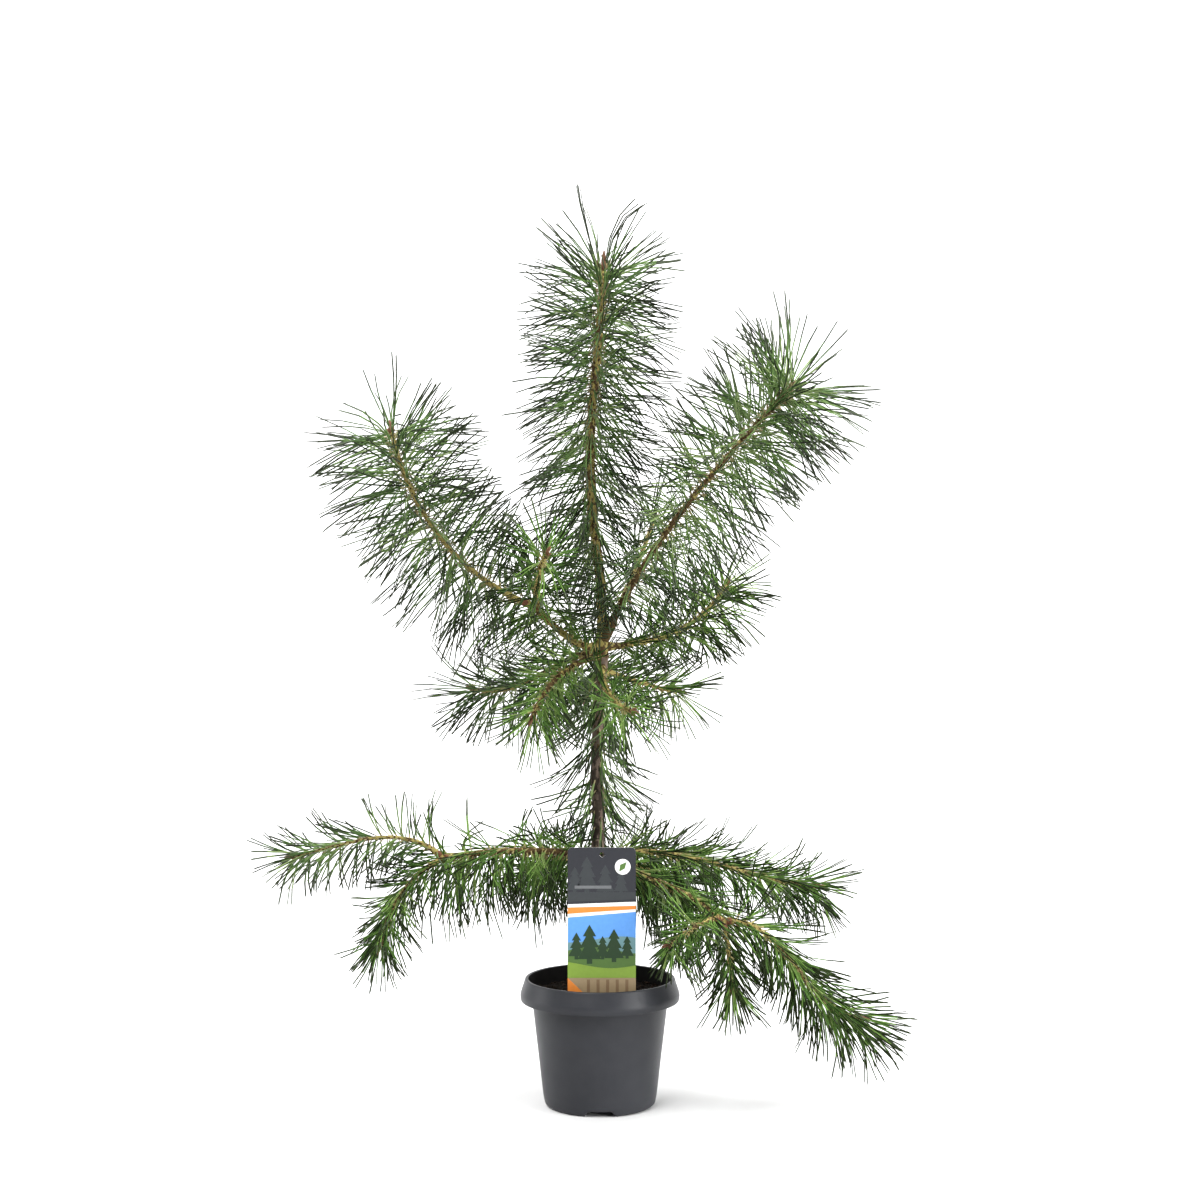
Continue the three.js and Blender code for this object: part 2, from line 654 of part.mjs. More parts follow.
function buildBough(item) {
  const { curve, bare, radiusAt } = item;
  const rings = ringsAlong(curve, evenly(0, bare, 12), radiusAt, BOUGH_SIDES);
  const body = { vertices: [], faces: [] };
  const surface = skin(body, rings, false);
  for (const facet of surface.facets) body.faces.push(facet.face);
  closeFlat(body, rings[0].point, surface.first, BOUGH_SIDES, true);
  const end = surface.first + (surface.count - 1) * BOUGH_SIDES;
  closeFlat(body, rings[rings.length - 1].point, end, BOUGH_SIDES, false);
  return geometryOf(body);
}

function buildMass(item, random) {
  const { spec, curve, rings, stem, forked } = item;
  const body = { vertices: [], faces: [] };
  const surface = skin(body, rings, false);
  closeFlat(body, rings[0].point, surface.first, STEM_SIDES, true);
  const last = surface.first + (surface.count - 1) * STEM_SIDES;
  const end = forked ? rings[rings.length - 1].point : curve.at(curve.length).point;
  closeFlat(body, end, last, STEM_SIDES, false);
  const lastRing = forked ? rings.length - 1 : rings.length - 4;
  growNeedles(body, surface, rings, stem, { ...spec, lastRing }, random);
  return geometryOf(body);
}

function buildLeader(random) {
  const inner = (d) => trunkRadius(d) + GAP + 0.12;
  const outer = (d) => inner(d) + LEADER_SKIN;
  const rings = ringsAlong(trunkCurve, evenly(leaderFrom, leaderTo, 9), outer, TRUNK_SIDES);
  const lining = ringsAlong(trunkCurve, evenly(leaderFrom, leaderTo, LINING_STEP), inner, TRUNK_SIDES);
  const body = { vertices: [], faces: [] };
  const surface = skin(body, rings, false);
  const inside = skin(body, lining, true);
  for (const facet of inside.facets) body.faces.push(facet.face);
  closeRing(body, surface.first, inside.first, TRUNK_SIDES, true);
  const outerEnd = surface.first + (surface.count - 1) * TRUNK_SIDES;
  const innerEnd = inside.first + (inside.count - 1) * TRUNK_SIDES;
  closeRing(body, outerEnd, innerEnd, TRUNK_SIDES, false);
  const rule = { ...LEADER_RULE, lastRing: rings.length - 1 };
  growNeedles(body, surface, rings, leaderStem, rule, random);
  return geometryOf(body);
}

function buildTrunkSpray({ spray, curve, stem }, random) {
  const rings = ringsAlong(curve, evenly(0, curve.length, 8), () => TRUNK_CORE, 4);
  const body = { vertices: [], faces: [] };
  const surface = skin(body, rings, false);
  closeFlat(body, rings[0].point, surface.first, 4, true);
  closeFlat(body, rings[rings.length - 1].point, surface.first + (surface.count - 1) * 4, 4, false);
  growNeedles(body, surface, rings, stem, { ...spray, lastRing: rings.length - 1 }, random);
  return geometryOf(body);
}

for (const [i, item] of plan.entries()) {
  if (item.bare) add(`${item.spec.name}_bough`, buildBough(item), BARK_BROWN, 0.8);
  add(`${item.spec.name}_needles`, buildMass(item, chance(SEED + 17 * i)), NEEDLE_GREEN, 0.55);
}
add("leader_needles", buildLeader(chance(SEED + 900)), NEEDLE_GREEN, 0.55);
for (const [i, entry] of sprays.entries()) {
  add(entry.spray.name, buildTrunkSpray(entry, chance(SEED + 950 + i)), NEEDLE_GREEN, 0.55);
}

// Pot.

function lathe(profile, sides) {
  const points = profile.map(([r, z]) => new THREE.Vector2(r, z));
  const geometry = new THREE.LatheGeometry(points, sides);
  geometry.rotateX(Math.PI / 2);
  return mergedAtSeam(geometry);
}

function prism(points, depth) {
  const shape = new THREE.Shape(points.map(([x, y]) => new THREE.Vector2(x, y)));
  const geometry = new THREE.ExtrudeGeometry(shape, { depth, bevelEnabled: false });
  geometry.deleteAttribute("normal");
  geometry.deleteAttribute("uv");
  const plain = geometry.clone();
  plain.setIndex([...Array(plain.attributes.position.count).keys()]);
  return mergedAtSeam(plain);
}

function buildPot() {
  const skirtFoot = POT_HEIGHT - POT_SKIRT_DROP;
  const underside = POT_FLOOR - FLOOR_THICK;
  const shell = lathe([
    [0, underside], [POT_FOOT_RADIUS - FOOT_WIDTH, underside],
    [POT_FOOT_RADIUS - FOOT_WIDTH, 0], [POT_FOOT_RADIUS - 4, 0], [POT_FOOT_RADIUS - 1, 2.5],
    [POT_FOOT_RADIUS, 10],
    [POT_SHOULDER_RADIUS, skirtFoot + 1], [POT_SHOULDER_RADIUS + 2.6, skirtFoot + 5],
    [POT_SKIRT_RADIUS - 2.4, skirtFoot + 2], [POT_SKIRT_RADIUS - 1, skirtFoot],
    [POT_SKIRT_RADIUS, skirtFoot + 7],
    [POT_TOP_RADIUS + 1.2, POT_HEIGHT - 3], [POT_TOP_RADIUS, POT_HEIGHT], [POT_OPENING_RADIUS, POT_HEIGHT],
    [POT_OPENING_RADIUS - 1.5, POT_HEIGHT - 4], [POT_SHOULDER_RADIUS - POT_WALL, skirtFoot],
    [POT_FOOT_RADIUS - POT_WALL, POT_FLOOR + 3], [POT_FOOT_RADIUS - POT_WALL - 4, POT_FLOOR], [0, POT_FLOOR],
  ], POT_SIDES);
  let solid = toManifold(shell);
  const padTop = POT_FLOOR - 1;
  const pad = toManifold(lathe([[0, 0], [PAD_RADIUS, 0], [PAD_RADIUS, padTop], [0, padTop]], 24));
  solid = solid.add(pad);
  const half = NOTCH_TOP_WIDTH / 2;
  const foot = NOTCH_FOOT_WIDTH / 2;
  for (let i = 0; i < FOOT_NOTCHES; i += 1) {
    const notch = prism([[-foot, -1], [foot, -1], [half, NOTCH_HEIGHT], [-half, NOTCH_HEIGHT]], 30);
    notch.rotateX(Math.PI / 2);
    notch.translate(0, -POT_FOOT_RADIUS + FOOT_WIDTH + 10, 0);
    notch.rotateZ(2 * Math.PI * i / FOOT_NOTCHES);
    solid = solid.subtract(toManifold(notch));
  }
  for (let i = 0; i < DRAIN_HOLES; i += 1) {
    const drain = lathe([[0, -1], [DRAIN_RADIUS, -1], [DRAIN_RADIUS, POT_FLOOR + 1], [0, POT_FLOOR + 1]], 12);
    drain.translate(DRAIN_CIRCLE, 0, 0);
    drain.rotateZ(2 * Math.PI * (i + 0.5) / DRAIN_HOLES);
    solid = solid.subtract(toManifold(drain));
  }
  return fromManifold(solid);
}

function labelPoints(grow) {
  const half = LABEL_WIDTH / 2 + grow;
  const c = LABEL_CORNER;
  const low = SOIL_TOP - LABEL_TONGUE - grow;
  const points = [[-12 - grow, low], [12 + grow, low], [half - 8, SOIL_TOP - 14], [half, SOIL_TOP + 12]];
  for (let i = 0; i <= 3; i += 1) {
    const a = Math.PI / 6 * i;
    points.push([half - c + c * Math.cos(a), LABEL_TOP - c + c * Math.sin(a)]);
  }
  for (let i = 3; i <= 6; i += 1) {
    const a = Math.PI / 6 * i;
    points.push([-half + c + c * Math.cos(a), LABEL_TOP - c + c * Math.sin(a)]);
  }
  points.push([-half, SOIL_TOP + 12], [-half + 8, SOIL_TOP - 14]);
  return points;
}

function labelBlank(grow) {
  const card = prism(labelPoints(grow), LABEL_THICK + 2 * grow);
  card.rotateX(Math.PI / 2);
  card.translate(LABEL_X, LABEL_Y + LABEL_THICK / 2 + grow, 0);
  return toManifold(card);
}

function buildLabel() {
  const hole = lathe([[0, -3], [LABEL_HOLE_RADIUS, -3], [LABEL_HOLE_RADIUS, 3], [0, 3]], 12);
  hole.rotateX(Math.PI / 2);
  hole.translate(LABEL_X + 0.5, LABEL_Y, LABEL_TOP - 8);
  return fromManifold(labelBlank(0).subtract(toManifold(hole)));
}

function buildSoil() {
  const low = POT_FLOOR + GAP;
  const wall = POT_FOOT_RADIUS - POT_WALL;
  const top = mix(wall, POT_SHOULDER_RADIUS - POT_WALL, 0.98);
  const profile = [[0, low], [wall - 4 - GAP * 2, low], [wall - GAP * 1.5, POT_FLOOR + 3 + GAP]];
  profile.push([POT_SHOULDER_RADIUS - POT_WALL - GAP * 1.5, POT_HEIGHT - POT_SKIRT_DROP]);
  profile.push([top + 1.2, SOIL_TOP - 2.5], [top - 3, SOIL_TOP]);
  for (const r of [66, 52, 38, 26]) profile.push([r, SOIL_TOP]);
  profile.push([0, SOIL_TOP]);
  const heap = lathe(profile, 32);
  const random = chance(SEED + 70);
  const position = heap.attributes.position;
  for (let i = 0; i < position.count; i += 1) {
    const r = Math.hypot(position.getX(i), position.getY(i));
    if (position.getZ(i) > SOIL_TOP - 1 && r > 30) position.setZ(i, SOIL_TOP - 3.2 * random());
  }
  return fromManifold(toManifold(heap).subtract(labelBlank(GAP)));
}

add("pot", buildPot(), POT_BLACK, 0.5);
add("soil", buildSoil(), SOIL_BROWN, 0.95);
add("label", buildLabel(), LABEL_GREY, 0.4);

export default group;
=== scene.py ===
"""Potted scots pine: bark with its relief, needles in pairs, pot, soil and label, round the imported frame."""

import json
import math

import bmesh
import bpy
import numpy as np
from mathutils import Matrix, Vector

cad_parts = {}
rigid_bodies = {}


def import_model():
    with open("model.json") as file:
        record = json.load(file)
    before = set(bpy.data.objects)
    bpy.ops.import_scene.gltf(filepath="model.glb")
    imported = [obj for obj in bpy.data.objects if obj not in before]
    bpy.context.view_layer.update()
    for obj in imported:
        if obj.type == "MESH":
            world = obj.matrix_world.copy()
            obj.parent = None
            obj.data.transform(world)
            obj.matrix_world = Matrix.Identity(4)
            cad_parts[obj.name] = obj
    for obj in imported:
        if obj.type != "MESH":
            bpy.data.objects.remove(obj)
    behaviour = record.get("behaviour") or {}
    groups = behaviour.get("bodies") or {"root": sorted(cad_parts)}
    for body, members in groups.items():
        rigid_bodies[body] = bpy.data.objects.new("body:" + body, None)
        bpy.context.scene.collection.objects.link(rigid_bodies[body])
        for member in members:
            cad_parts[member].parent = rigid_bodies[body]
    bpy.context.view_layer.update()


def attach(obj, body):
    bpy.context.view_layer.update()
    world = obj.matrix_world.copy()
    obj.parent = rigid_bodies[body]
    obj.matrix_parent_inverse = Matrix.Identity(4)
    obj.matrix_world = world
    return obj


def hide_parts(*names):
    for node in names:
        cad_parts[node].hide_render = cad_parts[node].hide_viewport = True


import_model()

MM = 0.001
SEED = 4573
GAP = 0.3
GOLDEN = math.radians(137.508)

# Pot, soil and label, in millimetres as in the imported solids.
POT_HEIGHT = 148
POT_FLOOR = 10
POT_UNDERSIDE = 7.2
POT_FOOT_RADIUS = 67
POT_COLLAR_RADIUS = 94
POT_OPENING_RADIUS = 84.6
PAD_RADIUS = 16
NOTCH_HEIGHT = 6.6
NOTCH_TOP_HALF = 12.5
NOTCH_FOOT_HALF = 19
DRAINS = 6
DRAIN_CIRCLE = 38
DRAIN_RADIUS = 5
SOIL_TOP = 133
SOIL_RADIUS = 79.8
SOIL_UNDERSIDE = 10.6
CRUMBS = 420
LABEL_WIDTH = 78
LABEL_TOP = 309
LABEL_SHOULDER = 145
LABEL_X = 2
LABEL_Y = -62
LABEL_MARGIN = 9

# Trunk: sideways sway at even steps of height, and radius by height.
TRUNK_TOP = 984
SWAY_X = [1, -2, -2.4, -3.5, 1.8, 1, -9.2, -10.6, -2.5, 4]
SWAY_Y = [0, 1, 2, 2, 0, -2, -3, -2, 0, 1]
TRUNK_GIRTH = [
    (133, 13), (141, 10), (158, 8.4), (272, 7.6), (289, 9), (308, 7.4), (500, 6.8), (530, 8.4),
    (562, 6.2), (700, 5.4), (900, 4.9), (976, 4.2), (984, 4.2),
]
OLD_BARK_TOP = 300
YOUNG_BARK_FOOT = 520
WHORLS = (289, 531)
WHORL_FOOT = 500
LEADER_FOOT = 582
LEADER_END = 978
LEADER_OPEN_TOP = 770

# How a limb and its needles grow, with angles in degrees. Heading, girth and lean have a value for the foot
# and one for the tip, pitch also one for halfway. Girth is a radius, less by the share slim beyond the foot.
# The higher olive is, the less of the bark is brown. Lean is the angle of the needles to the stem, and ease
# how late it changes. Droop bends them down, ragged makes them uneven, dense is their number, crowd draws
# them to the bud, and mingle lets them in among their neighbours. glow is light painted into their
# tints, stronger at the front, so that needles further back and limbs with it low or below nought take
# painted shade; rise raises it towards the tip, darker is painted shade on their outer part, and
# outer needles are greyer.
USUAL = dict(bare=0, slim=0.16, droop=0, ease=3, ragged=0, mingle=15, dense=1, crowd=0.18, olive=0.3, glow=0,
             rise=0, darker=0, outer=False)


def growth(**own):
    return {**USUAL, **own}


def stem(name, heading, pitch, length, girth, needle, lean, **own):
    return growth(name=name, heading=heading, pitch=pitch, length=length, girth=girth, needle=needle,
                  lean=lean, **own)


# A limb stands at a height of the trunk, or at a share of its parent, and the two of a fork on either side.
LIMBS = [
    stem("upper_left", (-164, -163), (3, 39, 33), 97, (4.6, 4), 84, (92, 78), height=536, bare=24,
         droop=0.15, dense=1.35, olive=0.6, glow=0.08),
    stem("upper_right", (-27, -4), (62, 50, 46), 364, (5, 3.3), 112, (98, 58), height=541, bare=34,
         droop=0.12, dense=1.5, crowd=0.55, olive=-0.3, outer=True),
    stem("upper_east", (26, 40), (3, 23, 62), 210, (4.4, 2.9), 74, (88, 46), height=537, bare=22,
         droop=0.28, dense=1.4, olive=0.5, glow=0.06),
    stem("upper_west", (138, 150), (-3, -23, 25), 214, (4.4, 2.9), 84, (84, 46), height=531, bare=22,
         droop=0.3, dense=0.82, glow=0.08, outer=True),
    stem("upper_front_left", (-132, -111), (-5, -28, -49), 165, (4, 2.9), 74, (76, 46), height=526, bare=20,
         droop=0.35, dense=0.96, olive=-0.2),
    stem("upper_front_right", (-90, -50), (-24, -23, 1), 134, (3.8, 2.8), 74, (86, 44), height=515, bare=18,
         droop=0.15, dense=0.74, glow=-0.3),
    stem("upper_small_right", (28, 24), (-17, -15, -4), 115, (3.6, 2.7), 70, (78, 46), height=510, bare=18,
         droop=0.3, dense=0.85),
    stem("upper_back_left", (93, 105), (-15, -23, -38), 166, (4, 2.9), 68, (80, 42), height=529, bare=20,
         dense=0.8, glow=-0.25, outer=True),
    stem("upper_back_right", (68, 63), (40, 43, 58), 226, (4.4, 3), 84, (94, 50), height=541, bare=26,
         dense=0.45, glow=-0.1, outer=True),
    stem("lower_left", (-165, -163), (10, 1, -7), 177, (4.8, 4), 107, (84, 62), height=290, bare=30,
         droop=0.85, ragged=0.24, mingle=45, dense=1.25, olive=-0.3, glow=-0.2, rise=0.3, darker=1),
    stem("lower_right", (-24, -30), (-17, -19, -35), 163, (4.8, 4), 84, (66, 56), height=288, bare=28,
         droop=0.9, ragged=0.2, dense=1.1, olive=-0.1, glow=0.12, rise=0.5, darker=1),
    stem("lower_east", (15, 14), (7, -16, -3), 286, (4.4, 2.8), 70, (64, 44), height=292, bare=34,
         droop=0.4, ease=2, dense=1.1),
    stem("lower_back_left", (116, 116), (-4, -14, -24), 210, (4.4, 2.9), 66, (74, 38), height=287, bare=42,
         droop=0.2, dense=0.85),
    stem("lower_back_right", (60, 56), (-8, -16, -22), 218, (4.4, 2.9), 66, (74, 38), height=285, bare=42,
         droop=0.2, dense=0.85),
    stem("upper_left_tip", (-168, -178), (22, 54, 81), 280, (3.9, 3.3), 112, (98, 58), parent="upper_left",
         at=1, droop=0.12, dense=1.55, olive=0.7, outer=True),
    stem("upper_left_front", (-98, -59), (39, 38, 36), 116, (3.2, 2.8), 74, (86, 48), parent="upper_left",
         at=0.84, glow=-0.42),
    stem("lower_left_tip", (-177, -190), (45, -11, -4), 194, (3.6, 2.8), 62, (74, 34), parent="lower_left",
         at=1, side=1, slim=0.32, droop=0.25, ease=1.2, dense=0.74, outer=True),
    stem("lower_left_front", (-146, -106), (-16, -44, -64), 148, (3.2, 2.7), 58, (50, 28),
         parent="lower_left", at=1, side=-1, slim=0.32, droop=0.1, ease=1.5),
    stem("lower_right_front", (-131, -129), (10, -16, -1), 110, (3, 2.6), 72, (66, 46),
         parent="lower_right", at=0.97, slim=0.32, droop=0.6, ease=2, dense=1.15),
    stem("lower_right_tip", (-16, -11), (8, -52, 11), 203, (3.5, 2.8), 78, (60, 36), parent="lower_right",
         at=1, side=1, slim=0.32, droop=0.4, ease=1.5, dense=1.1, glow=0.1, rise=0.35, darker=1),
    stem("lower_right_drop", (-77, -82), (-60, -61, -65), 92, (3, 2.6), 62, (46, 26), parent="lower_right",
         at=1, side=-1, slim=0.32, droop=0.25, ease=1.5, glow=-0.2, darker=1),
]
FORKED = {limb["parent"] for limb in LIMBS if limb.get("at") == 1}

# Needles on the trunk between the whorls point down and out, dealt out by sector.
TRUNK_SPRAYS = [
    growth(name="trunk_needles_" + side, heading=heading, span=span, needle=needle, lean=lean, pairs=pairs,
           outer=True)
    for side, heading, span, needle, lean, pairs in (
        ("right", (-78, 58), (500, 314), 82, (42, 54), 56),
        ("left", (122, 258), (500, 314), 82, (42, 54), 40),
        ("back", (58, 122), (490, 322), 78, (40, 48), 26),
    )
]

LEADER = growth(needle=101, lean=(122, 70), dense=1.55, crowd=0.42, outer=True)

# Long pairs of needles arched over the leading bud: root, bend and tip.
CROWN_NEEDLES = [
    ((-1, -3, 980), (-23, -5, 1048), (-26, -7, 1084)), ((7, -3, 980), (12, -5, 1044), (55, -7, 1062)),
    ((-2, -4, 980), (-22, -6, 1046), (-25, -8, 1081)), ((6, -4, 980), (10, -6, 1040), (50, -8, 1063)),
]

CURVE_STEP = 3.0
SHOOT_FOOT = 1.6
FORK_GAP = 0.5
FORK_ROOT = 5.0
BUD_BACK = 13

# Stems as their needles see them: a radius, and what needles leave free.
LEADER_RADIUS = 5.0
TRUNK_RADIUS = 6.5
SPRAY_RADIUS = 1.0
OWN_CLEARANCE = 2.5
AROUND_CLEARANCE = 2
OTHER_CLEARANCE = 1.2

# Needles: spreads in degrees, reaches in shares of the limb's needle, rings in shares of the needle itself.
PAIR_STEP = 1.2
ROOT_DEPTH = 0.3
PAIRS_IN_SPRAY = 10
NEEDLE_WIDTH = 1.85
NEEDLE_SPREAD = 52
TIP_SPREAD = 78
LONGEST = 1.06
UNEVEN = 0.24
ATTEMPTS = 7
SHORT_ATTEMPT = 4
SHORT_REACH = 0.72
HANGING = 0.6
NEEDLE_RINGS = (0.0, 0.07, 0.34, 0.66, 0.94)
NEEDLE_WIDTHS = (0.7, 0.85, 1.0, 1.05, 0.92)
TINT_BOUNDS = (0.16, 0.44, 0.74, 1.0)


def unit(v):
    v = np.asarray(v, float)
    return v / np.maximum(np.linalg.norm(v, axis=-1, keepdims=True), 1e-9)


def mix(a, b, s):
    return a + (b - a) * s


def through(a, b, c, s):
    """The parabola that passes a, b and c at the shares 0, a half and 1."""
    return a * (1 - s) * (1 - 2 * s) + 4 * b * s * (1 - s) + c * s * (2 * s - 1)


def smooth(a, b, x):
    """0 at a and 1 at b, level beyond them."""
    t = np.clip((np.asarray(x, float) - a) / (b - a), 0, 1)
    return t * t * (3 - 2 * t)


def heads(turn, rise):
    """The unit vector that points turn degrees round from X and rise degrees up."""
    t, r = math.radians(turn), math.radians(rise)
    return np.array([math.cos(r) * math.cos(t), math.cos(r) * math.sin(t), math.sin(r)])


def circle(angles):
    """Unit vectors at these angles in the plane of X and Y."""
    return np.stack([np.cos(angles), np.sin(angles), 0 * angles], 1)


def square_to(ways, outs):
    """The unit vectors nearest to outs at right angles to ways."""
    return unit(outs - ways * np.sum(outs * ways, 1, keepdims=True))


def dealt(name):
    """A random source of its own for each piece, the same in every run."""
    return np.random.default_rng(SEED + sum((i + 1) * ord(c) for i, c in enumerate(name)))


def lumps(points, seed):
    """Smooth value noise from -1 to 1 at points given in cells."""
    cell = np.floor(points).astype(np.int64)
    part = points - cell
    part = part * part * (3 - 2 * part)
    total = np.zeros(len(points))
    for corner in range(8):
        bits = np.array([corner & 1, corner >> 1 & 1, corner >> 2 & 1])
        at = cell + bits
        key = at[:, 0] * 374761393 + at[:, 1] * 668265263 + at[:, 2] * 1440662683 + seed * 97531
        key = (key ^ (key >> 13)) * 1274126177
        key = (key ^ (key >> 16)) & 0xFFFF
        weight = np.prod(np.where(bits, part, 1 - part), axis=1)
        total += weight * (key / 32767.5 - 1)
    return total


# Meshes.


def linked(name, data):
    obj = bpy.data.objects.new(name, data)
    bpy.context.scene.collection.objects.link(obj)
    return obj


def shade_faces(mesh, smooth_faces=True):
    mesh.polygons.foreach_set("use_smooth", np.full(len(mesh.polygons), smooth_faces, bool))


class Shape:
    """Corners in millimetres, faces and the material number of each face."""

    def __init__(self):
        self.corners = []
        self.faces = []
        self.paint = []
        self.count = 0

    def add(self, corners, faces, paint):
        corners = np.asarray(corners, float).reshape(-1, 3)
        self.corners.append(corners)
        self.faces.extend([tuple(i + self.count for i in face) for face in faces])
        self.paint.extend(np.broadcast_to(paint, len(faces)).tolist())
        self.count += len(corners)

    def grid(self, rings, paint, caps):
        """Rings of rows x sides x 3, with the first and the last drawn together to the two points in caps."""
        rows, sides = rings.shape[:2]
        hub = rows * sides
        starts = range(0, hub, sides)
        around = [(k, (k + 1) % sides) for k in range(sides)]
        faces = [(a + k, a + n, b + n, b + k) for a, b in zip(starts, starts[1:]) for k, n in around]
        faces += [(n, k, hub) for k, n in around]
        faces += [(starts[-1] + k, starts[-1] + n, hub + 1) for k, n in around]
        paint = np.broadcast_to(paint, (rows - 1, sides)).reshape(-1)
        paint = np.concatenate([paint, paint[:sides], paint[-sides:]])
        self.add(np.concatenate([rings.reshape(-1, 3), caps]), faces, paint)

    def thing(self, name):
        """The shape as a bare object of the scene."""
        mesh = bpy.data.meshes.new(name)
        mesh.from_pydata((np.concatenate(self.corners) * MM).tolist(), [], self.faces)
        return linked(name, mesh)

    def piece(self, name, materials, slot, nodes, smooth_faces=True):
        """The shape as a finished piece that replaces its nodes."""
        obj = self.thing(name)
        mesh = obj.data
        for mat in materials:
            mesh.materials.append(mat)
        mesh.polygons.foreach_set("material_index", np.array(self.paint, np.int32))
        shade_faces(mesh, smooth_faces)
        mesh.update()
        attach(obj, "root")
        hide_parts(*nodes)
        return obj


# Materials.


def set_inputs(node, values):
    for name, value in values.items():
        node.inputs[name].default_value = value
    return node


def noise_of(tree, place, scale, detail):
    node = set_inputs(tree.nodes.new("ShaderNodeTexNoise"), {"Scale": scale, "Detail": detail})
    tree.links.new(place, node.inputs["Vector"])
    return node.outputs["Fac"]


def material(name, colour, roughness, noise=None, share=0.5, bump=None, specular=0.2, stretch=None):
    """Noise is (scale per metre, second colour), blended over that share, bump is (scale, strength, mm)."""
    mat = bpy.data.materials.new(name)
    mat.use_nodes = True
    tree = mat.node_tree
    shader = tree.nodes["Principled BSDF"]
    set_inputs(shader, {"Base Color": (*colour, 1), "Roughness": roughness, "Specular IOR Level": specular})
    place = tree.nodes.new("ShaderNodeTexCoord").outputs["Object"]
    if stretch:
        mapping = set_inputs(tree.nodes.new("ShaderNodeMapping"), {"Scale": stretch})
        tree.links.new(place, mapping.inputs["Vector"])
        place = mapping.outputs["Vector"]
    if noise:
        scale, second = noise
        ramp = tree.nodes.new("ShaderNodeValToRGB")
        for end, shade in enumerate((colour, second)):
            ramp.color_ramp.elements[end].position = 0.5 + share * (end - 0.5)
            ramp.color_ramp.elements[end].color = (*shade, 1)
        tree.links.new(noise_of(tree, place, scale, 4), ramp.inputs["Fac"])
        tree.links.new(ramp.outputs["Color"], shader.inputs["Base Color"])
    if bump:
        scale, strength, height = bump
        node = set_inputs(tree.nodes.new("ShaderNodeBump"), {"Strength": strength, "Distance": height * MM})
        tree.links.new(noise_of(tree, place, scale, 3), node.inputs["Height"])
        tree.links.new(node.outputs["Normal"], shader.inputs["Normal"])
    return mat


NEEDLE_TONES = {
    "black_green": ((0.012, 0.017, 0.007), (0.017, 0.025, 0.010)),
    "deep_green": ((0.025, 0.040, 0.015), (0.035, 0.056, 0.020)),
    "mid_green": ((0.045, 0.091, 0.022), (0.061, 0.117, 0.029)),
    "fresh_green": ((0.094, 0.168, 0.038), (0.118, 0.205, 0.050)),
    "yellow_green": ((0.150, 0.222, 0.065), (0.184, 0.258, 0.085)),
    "sheath": ((0.340, 0.310, 0.140), (0.190, 0.150, 0.070)),
    "end_dark": ((0.022, 0.029, 0.016), (0.030, 0.040, 0.022)),
    "end_grey": ((0.050, 0.067, 0.036), (0.066, 0.086, 0.047)),
}


def needle_set(place, grey, specular):
    """The needle materials, with their colours drawn towards grey by the share grey."""
    made = []
    for tone, colours in NEEDLE_TONES.items():
        first, second = (tuple(mix(c, sum(colour) / 3, grey) for c in colour) for colour in colours)
        made.append(material("needle_" + tone + place, first, 0.55, noise=(26, second),
                             bump=(900, 0.25, 0.1), specular=specular))
    return made


# Needles near the heart of the plant are a clear green, outer ones greyer.
HEART_NEEDLES = needle_set("_heart", 0, 0)
OUTER_NEEDLES = needle_set("_outer", 0.15, 0.05)
TONES = list(NEEDLE_TONES)
LIGHTEST = TONES.index("yellow_green")
SHEATH = TONES.index("sheath")
ENDS = np.array([TONES.index(tone) for tone in ("black_green", "end_dark", "end_grey")])

BARK_MATERIALS = [
    material("bark_old_dark", (0.030, 0.022, 0.016), 0.9, noise=(160, (0.060, 0.045, 0.034)),
             bump=(700, 0.9, 0.6), stretch=(1, 1, 0.35)),
    material("bark_old_plate", (0.085, 0.063, 0.048), 0.85, noise=(220, (0.150, 0.112, 0.084)),
             bump=(600, 0.9, 0.5), stretch=(1, 1, 0.35)),
    material("bark_young_brown", (0.085, 0.052, 0.018), 0.8, noise=(240, (0.050, 0.030, 0.011)),
             bump=(900, 0.7, 0.4), stretch=(1, 1, 0.5)),
    material("bark_shoot_olive", (0.235, 0.205, 0.060), 0.7, noise=(200, (0.270, 0.210, 0.065)),
             bump=(1100, 0.5, 0.3), specular=0.22),
    material("bark_scale_dark", (0.032, 0.019, 0.008), 0.75, noise=(260, (0.062, 0.036, 0.014)),
             bump=(1100, 0.6, 0.3)),
    material("bark_knot_red", (0.170, 0.070, 0.034), 0.75, noise=(320, (0.095, 0.042, 0.024)),
             bump=(900, 0.8, 0.4)),
]
OLD_DARK, OLD_PLATE, YOUNG, OLIVE, SCALE, KNOT = range(6)

BUD_MATERIALS = [
    material("bud_scale", (0.165, 0.084, 0.048), 0.6, noise=(500, (0.110, 0.052, 0.030)),
             bump=(1500, 0.4, 0.2), specular=0.15),
    material("bud_scale_edge", (0.230, 0.135, 0.085), 0.65, noise=(700, (0.150, 0.085, 0.050)),
             bump=(1500, 0.4, 0.2), specular=0.3),
]


# Curves.


def read_off(at, marks, rows):
    """Rows that are known at the marks, read off at other places."""
    return np.stack([np.interp(at, marks, column) for column in rows.T], 1)


class Curve:
    """A line through points, which runs on straight beyond its ends."""

    def __init__(self, points):
        self.points = np.asarray(points, float)
        hops = np.linalg.norm(np.diff(self.points, axis=0), axis=1)
        self.reach = np.concatenate([[0], np.cumsum(hops)])
        self.length = self.reach[-1]
        self.ways = unit(np.gradient(self.points, self.reach, axis=0))

    def at(self, d):
        d = np.atleast_1d(np.asarray(d, float))
        over = d[:, None] - np.clip(d, 0, self.length)[:, None]
        way = unit(read_off(d, self.reach, self.ways))
        return read_off(d, self.reach, self.points) + way * over, way


